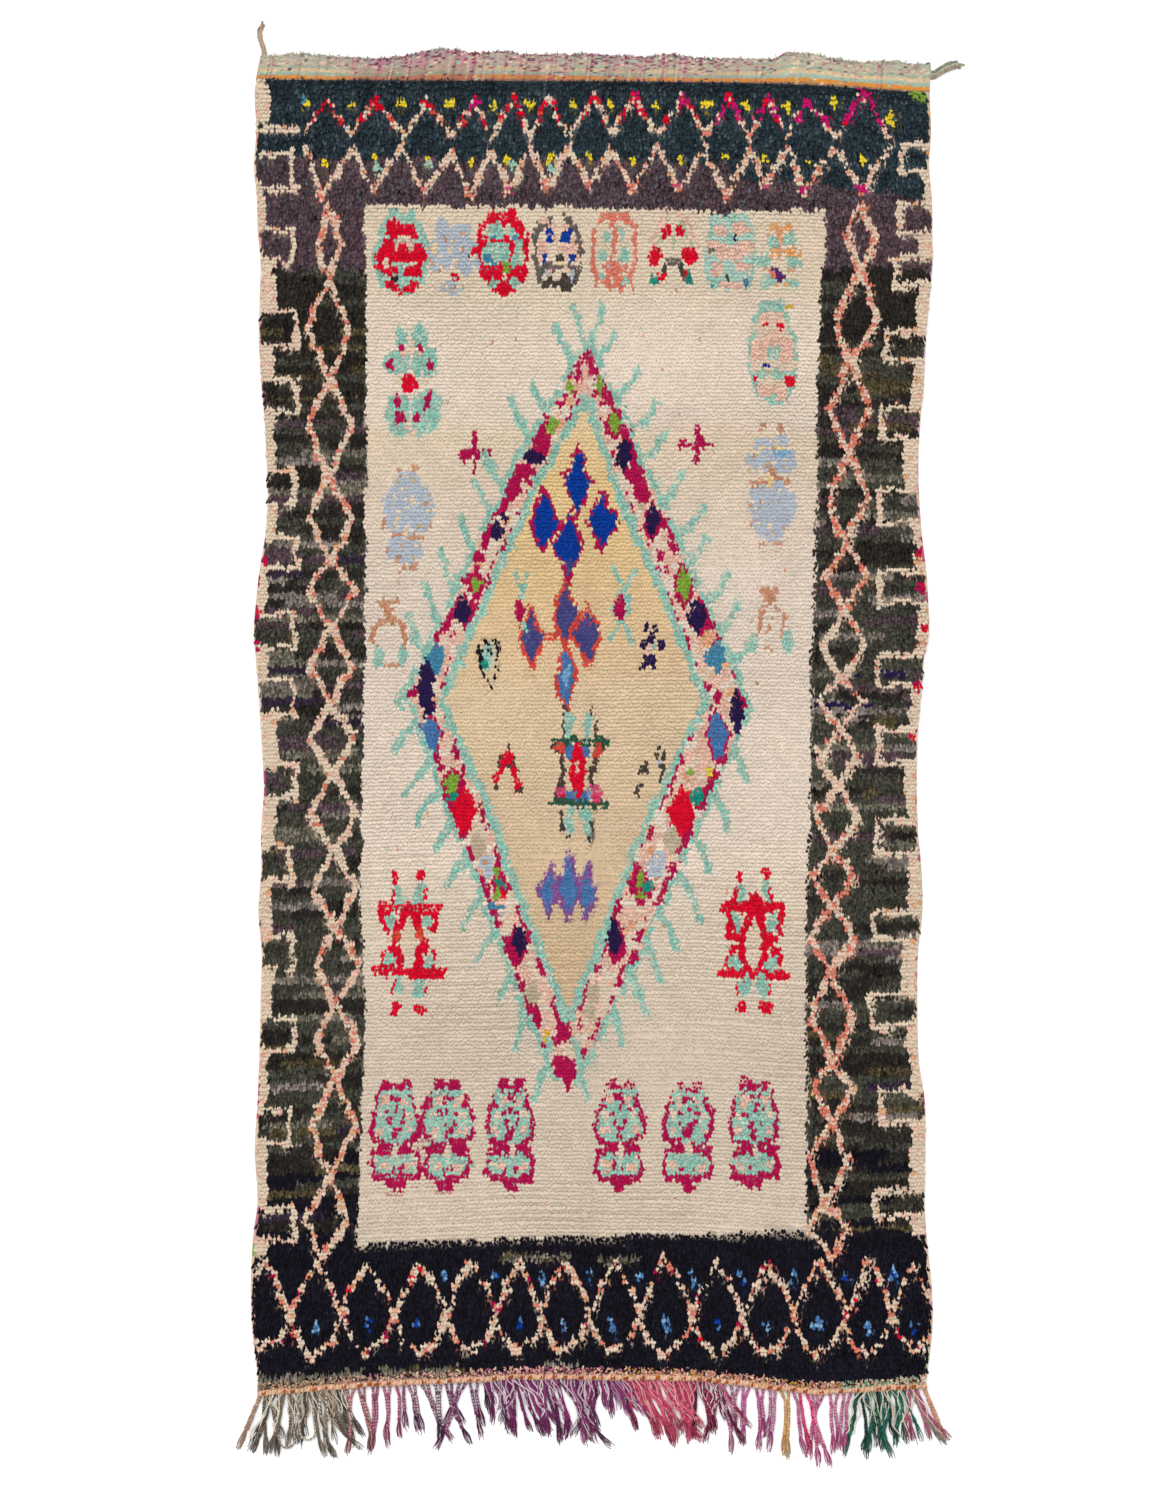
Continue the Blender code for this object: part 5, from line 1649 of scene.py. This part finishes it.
# The foot is finished by a twined cord, with turned-back warp ends between it and the pile
cord = {
    "half": 6.4 * mm,
    "turn": 26.0 * mm,
    "colours": ("#CDA084", "#D6AE92", "#C0906E", "#DAB69C"),
    "dash": "#90481C",  # one rust strand shows again and again
    "dashEvery": (16, 46),  # mm
    "dashLength": 17.0 * mm,
    "dashHalf": 4.4 * mm,
    "dashHeight": 7.2 * mm,
    "under": "#64483C",  # the shaded roll of warp between cord and pile
    "underHalf": 6.6 * mm,
    "tufts": 1.05 * mm,  # from one tuft of turned-back warp to the next
    "tuftHalf": 1.8 * mm,
    "tuftLength": 10.5 * mm,
    "tuftHeights": (4.5, 9.5),  # mm
    # across from, to in mm, yarns
    "tuftYarns": (
        (-760, -600, ("#9A8468", "#8C7A60", "#B09C84", "#C49476", "#CCA688")),
        (-600, -300, ("#B88874", "#C89E8C", "#94607A", "#8A7C6A", "#D2AE9A", "#B09A8A")),
        (-300, 70, ("#B4707A", "#C09080", "#8A4A6A", "#CEA28A", "#D4B098")),
        (70, 560, ("#C8947C", "#D0A48C", "#B46A6C", "#B08838", "#DAB8A0", "#C48C78")),
        (560, 760, ("#94AC90", "#BC9680", "#7A9C84", "#D0AE96", "#CABAA2")),
    ),
}


def makeTwinedCord():
    looks = random.Random(14)
    low, high = footEdge[0][0] * mm, footEdge[-1][0] * mm
    parts = []
    x = low + 4 * mm
    while x < high - 4 * mm:
        start = float(footLine(x)) + looks.uniform(-14, 11) * mm
        lean = looks.uniform(-1.3, 1.3)
        length = cord["tuftLength"] * looks.uniform(0.6, 1.2)
        stops = np.linspace(0, 1, 4)
        across = x + length * math.sin(lean) * stops
        along = start + length * math.cos(lean) * (stops - 0.5)
        path = np.stack([across, along], axis=1)
        radii = cord["tuftHalf"] * np.array([0.6, 1.2, 1.1, 0.5]) * looks.uniform(0.8, 1.3)
        colour = np.array(pickYarn(looks, stretchAt(cord["tuftYarns"], x)[2])) * looks.uniform(0.75, 1.15)
        height = looks.uniform(*cord["tuftHeights"]) * mm
        parts.append(sweep(path, radii, 4, 1, 1.0, [colour], floor=height))
        x += cord["tufts"] * looks.uniform(0.6, 1.4)
    spine = np.linspace(low + 1 * mm, high - 1 * mm, 900)
    under = np.stack([spine, footLine(spine) - cloth["parting"] - 6.5 * mm], axis=1)[::6]
    radii = np.full(len(under), cord["underHalf"])
    parts.append(sweep(under, radii, 8, 1, 1.0, [linearColour(cord["under"])], flatten=0.3))
    middle = footLine(spine) - cloth["parting"] - fringe["cordWidth"] + cord["half"] + 1.0 * mm
    wavy = middle + 0.7 * mm * np.sin(spine * 60) + 0.5 * mm * np.sin(spine * 133)
    line = np.stack([spine, wavy], axis=1)
    radii = cord["half"] * (1 + 0.14 * np.sin(spine * 2 * math.pi / (7.2 * mm)) + 0.08 * np.sin(spine * 41))
    plies = [linearColour(value) for value in cord["colours"]]
    parts.append(sweep(line, radii, 10, 4, cord["turn"], plies, floor=1.2 * mm))
    x = low + 8 * mm
    while x < high - 24 * mm:
        stops = np.linspace(0, 1, 6)
        across = x + cord["dashLength"] * looks.uniform(0.7, 1.2) * stops
        along = np.interp(across, spine, line[:, 1]) + (stops - 0.5) * looks.uniform(3, 7) * mm
        path = np.stack([across, along], axis=1)
        radii = cord["dashHalf"] * np.sin(math.pi * (0.12 + 0.76 * stops))
        colour = np.array(linearColour(cord["dash"])) * looks.uniform(0.8, 1.2)
        parts.append(sweep(path, radii, 6, 1, 1.0, [colour], floor=cord["dashHeight"]))
        x += looks.uniform(*cord["dashEvery"]) * mm
    piece = makeYarns("twinedCord", parts)
    return piece


twinedCord = makeTwinedCord()

# Selvedges: the edge warps wrapped round and round in whatever yarn was at hand
selvedge = {
    "wrap": 5.6 * mm,
    "half": 6.2 * mm,
    "flat": 0.62,
    # along from in mm, yarns it is wrapped with from there up
    "left": (
        (0, ("#7C9A4C", "#BFA890")), (30, ("#CDB096", "#C89C90")), (280, ("#7C9A4C",)),
        (305, ("#CDB49C", "#C49C94", "#B4707C")), (400, ("#C0805C", "#CDB49C")),
        (440, ("#D0B89C", "#CDA89C", "#D2BEA6")), (530, ("#DCC68C",)), (550, ("#D0B89C", "#CDA89C")),
        (590, ("#A42848", "#C8566E", "#CDA89C")), (720, ("#D0B89C", "#CDA89C", "#D2BEA6")),
        (1150, ("#CDA49C", "#A8486A", "#D0B89C")), (1400, ("#D0B89C", "#D4C2AC")),
        (1640, ("#A02844", "#D0B498", "#7A2038", "#BFAA92")), (1900, ("#D0BCA2", "#CC9C92", "#D6C4AE")),
        (2500, ("#D0B89C", "#D2BCA2", "#CC9886")),
    ),
    "right": (
        (0, ("#C8A084", "#BFB296")), (150, ("#C0808A", "#D0B89C", "#CDAA9A")),
        (420, ("#CCB49A", "#D0BAA2")),
        (605, ("#A42848", "#C05A78", "#CCB49A")), (745, ("#CCB49A", "#D0BAA2")),
        (880, ("#B8B89C", "#CCB89E", "#C05A78")), (1150, ("#CFBBA2", "#CDA896", "#A84C68")),
        (1340, ("#CFBBA2", "#CDA896")), (1640, ("#A42C48", "#CCB498", "#C88C84", "#B85A70")),
        (1880, ("#CFBBA4", "#C8949A", "#CDB096")), (2500, ("#D0B89C", "#CC9E86")),
        (2800, ("#A0A890", "#CDA070", "#B8AA90")),
    ),
}


def makeSelvedge(name, which):
    seed, way, corner = {"left": (3, 1, footEdge[0][0] * mm), "right": (4, -1, footEdge[-1][0] * mm)}[which]
    looks = random.Random(seed)
    start = float(footLine(corner)) + 1 * mm
    end = float(pileTopLine(corner))
    ys = np.arange(start, end, selvedge["wrap"] / 2)
    xs = sideLine(which, ys) + way * selvedge["half"]
    path = np.stack([xs, ys], axis=1)
    radii = selvedge["half"] * np.where(np.arange(len(ys)) % 2, 1.0, 0.86)
    radii = radii * (1 + np.array([looks.uniform(-0.05, 0.05) for _ in ys]))
    wraps = []
    current, wrapsLeft = None, 0
    for y in ys:
        if wrapsLeft <= 0:
            values = [row[1] for row in selvedge[which] if row[0] <= max(y, 0.0) / mm][-1]
            current = np.array(pickYarn(looks, values))
            wrapsLeft = looks.choice((2, 3, 4, 6, 10))
        wraps.append(current * looks.uniform(0.88, 1.08))
        wrapsLeft -= 1
    edgeSides = 6
    points, faces, colours = sweep(path, radii, edgeSides, 1, 1.0, [wraps[0]], flatten=selvedge["flat"])
    colours = np.repeat(np.array(wraps), edgeSides, axis=0)
    piece = makePiece(name, points, faces, colours, (pliedYarn,))
    return piece


selvedges = [makeSelvedge("selvedgeLeft", "left"), makeSelvedge("selvedgeRight", "right")]
print("cord and selvedges wrapped,", len(twinedCord.data.polygons), "faces in the cord")

# The corner tails: a knot of plied cords with frayed ends
tails = {
    "left": {
        "width": 11.0 * mm, "length": 72.0 * mm, "height": 4.0 * mm, "inset": 2.5 * mm,
        "bends": (0.004, 0.009, 0.010, 0.006, 0.004),
        "plies": ("#A89682", "#B8A890", "#7E7464", "#B09078"),
        "fullness": 0.50,
        "seed": 11,
    },
    "right": {
        "width": 19.0 * mm, "length": 70.0 * mm, "height": 5.0 * mm, "inset": 19.0 * mm,
        "bends": (0.009, 0.017, 0.022, 0.024, 0.022),
        "plies": ("#98A48A", "#B0A890", "#7C8070", "#B09080"),
        "fullness": 0.52,
        "seed": 12,
    },
}
tailKnot = 9.0 * mm
tailCords = 3
tailEnds = {"opens": 16.0 * mm, "yarns": 6, "spread": 3.0 * mm, "yarnHalf": 1.0 * mm, "turn": 8.0 * mm}
tailMargin = 0.5 * mm


def makeTail(name, which, node):
    shape = tails[which]
    looks = random.Random(shape["seed"])
    pitch = shape["width"] / tailCords
    parts = []
    for k in range(tailCords):
        middle = pitch * (k - (tailCords - 1) / 2)
        length = shape["length"] * (1.0 - 0.14 * abs(k - 1) - 0.05 * k)
        step = shape["length"] / len(shape["bends"])
        stations = [(0.0, middle), *((step * n, middle + bend) for n, bend in enumerate(shape["bends"], 1))]
        route = [(middle * 0.7, -2 * mm), (middle, -tailKnot), *pathTo(length, stations, -tailKnot)]
        path = smoothPath(route, 3 * mm)
        plies = [pickYarn(looks, shape["plies"]) for _ in range(2)]
        parts += strandParts(path, pitch * shape["fullness"], plies, looks, tailEnds)
    reach = shape["width"] / 2 + tailMargin
    for k in range(3):
        # the knot: three turns across the cords, each slanting a little
        stops = np.linspace(-1, 1, 7)
        y = -tailKnot * (0.2 + 0.3 * k)
        path = np.stack([stops * reach, y + stops * 1.2 * mm], axis=1)
        radii = (shape["height"] / 2 + 1.3 * mm) * np.sqrt(np.clip(1 - (stops * 0.9) ** 2, 0.02, 1)) * 0.8
        parts.append(sweep(path, radii, 8, 2, 8 * mm, [pickYarn(looks, shape["plies"])]))
    points, faces, colours = joinParts(parts)
    if which == "left":
        x = headingEdge[0][0] * mm + reach + shape["inset"]
        edge = max(float(headingLine(x - reach)), float(headingLine(x + reach)))
        points[:, :2] = np.array([x, edge + cloth["parting"]]) - points[:, :2]
    else:
        y = headingEdge[-1][1] * mm - reach - shape["inset"]
        edge = max(float(sideLine("right", y + step)) for step in (-reach, 0, reach))
        points[:, :2] = np.stack([edge + cloth["parting"] - points[:, 1], y + points[:, 0]], axis=1)
    piece = makePiece(name, points, faces, colours, (pliedYarn,))
    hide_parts(node)
    return piece


makeTail("cornerTailLeft", "left", "corner_tail_left")
makeTail("cornerTailRight", "right", "corner_tail_right")
print("tails tied")

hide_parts("rug")

# Floor, light and camera
studio = {
    "floor": "#FAFAFA",
    "floorHalf": 9.0,
    "world": 0.97,
    "sun": 1.36,
    "sunAngle": 35,
    "sunTilt": (32, -14),
    "height": 9.0,  # of the camera
    "middle": (-0.0465, -0.0153),  # of the picture, on the floor
    "seen": 3.375,  # metres of floor from the top to the bottom of the picture
}


def makeFloor():
    half = studio["floorHalf"]
    mesh = bpy.data.meshes.new("floor")
    corners = [(-half, -half, 0.0), (half, -half, 0.0), (half, half, 0.0), (-half, half, 0.0)]
    mesh.from_pydata(corners, [], [(0, 1, 2, 3)])
    floor = bpy.data.objects.new("floor", mesh)
    bpy.context.scene.collection.objects.link(floor)
    # matt white paint, so it only takes soft shadow
    material = bpy.data.materials.new("paintedStudioFloor")
    material.use_nodes = True
    shader = material.node_tree.nodes["Principled BSDF"]
    shader.inputs["Base Color"].default_value = (*linearColour(studio["floor"]), 1.0)
    shader.inputs["Roughness"].default_value = 0.9
    shader.inputs["Specular IOR Level"].default_value = 0.0
    mesh.materials.append(material)
    return floor


makeFloor()
world = bpy.data.worlds.new("studioAir")
world.use_nodes = True
world.node_tree.nodes["Background"].inputs["Color"].default_value = (1.0, 1.0, 1.0, 1.0)
world.node_tree.nodes["Background"].inputs["Strength"].default_value = studio["world"]
bpy.context.scene.world = world
sunData = bpy.data.lights.new("softSun", "SUN")
sunData.energy = studio["sun"]
sunData.angle = math.radians(studio["sunAngle"])
sun = bpy.data.objects.new("softSun", sunData)
sun.rotation_euler = [math.radians(value) for value in (-studio["sunTilt"][0], studio["sunTilt"][1], 0)]
bpy.context.scene.collection.objects.link(sun)

cameraData = bpy.data.cameras.new("camera")
cameraData.sensor_width = 36.0
cameraData.lens = cameraData.sensor_width * studio["height"] / studio["seen"]
cameraData.clip_end = 60.0
camera = bpy.data.objects.new("camera", cameraData)
camera.location = (*studio["middle"], studio["height"])
bpy.context.scene.collection.objects.link(camera)
bpy.context.scene.camera = camera
bpy.context.scene.view_settings.view_transform = "Standard"
print("studio set")
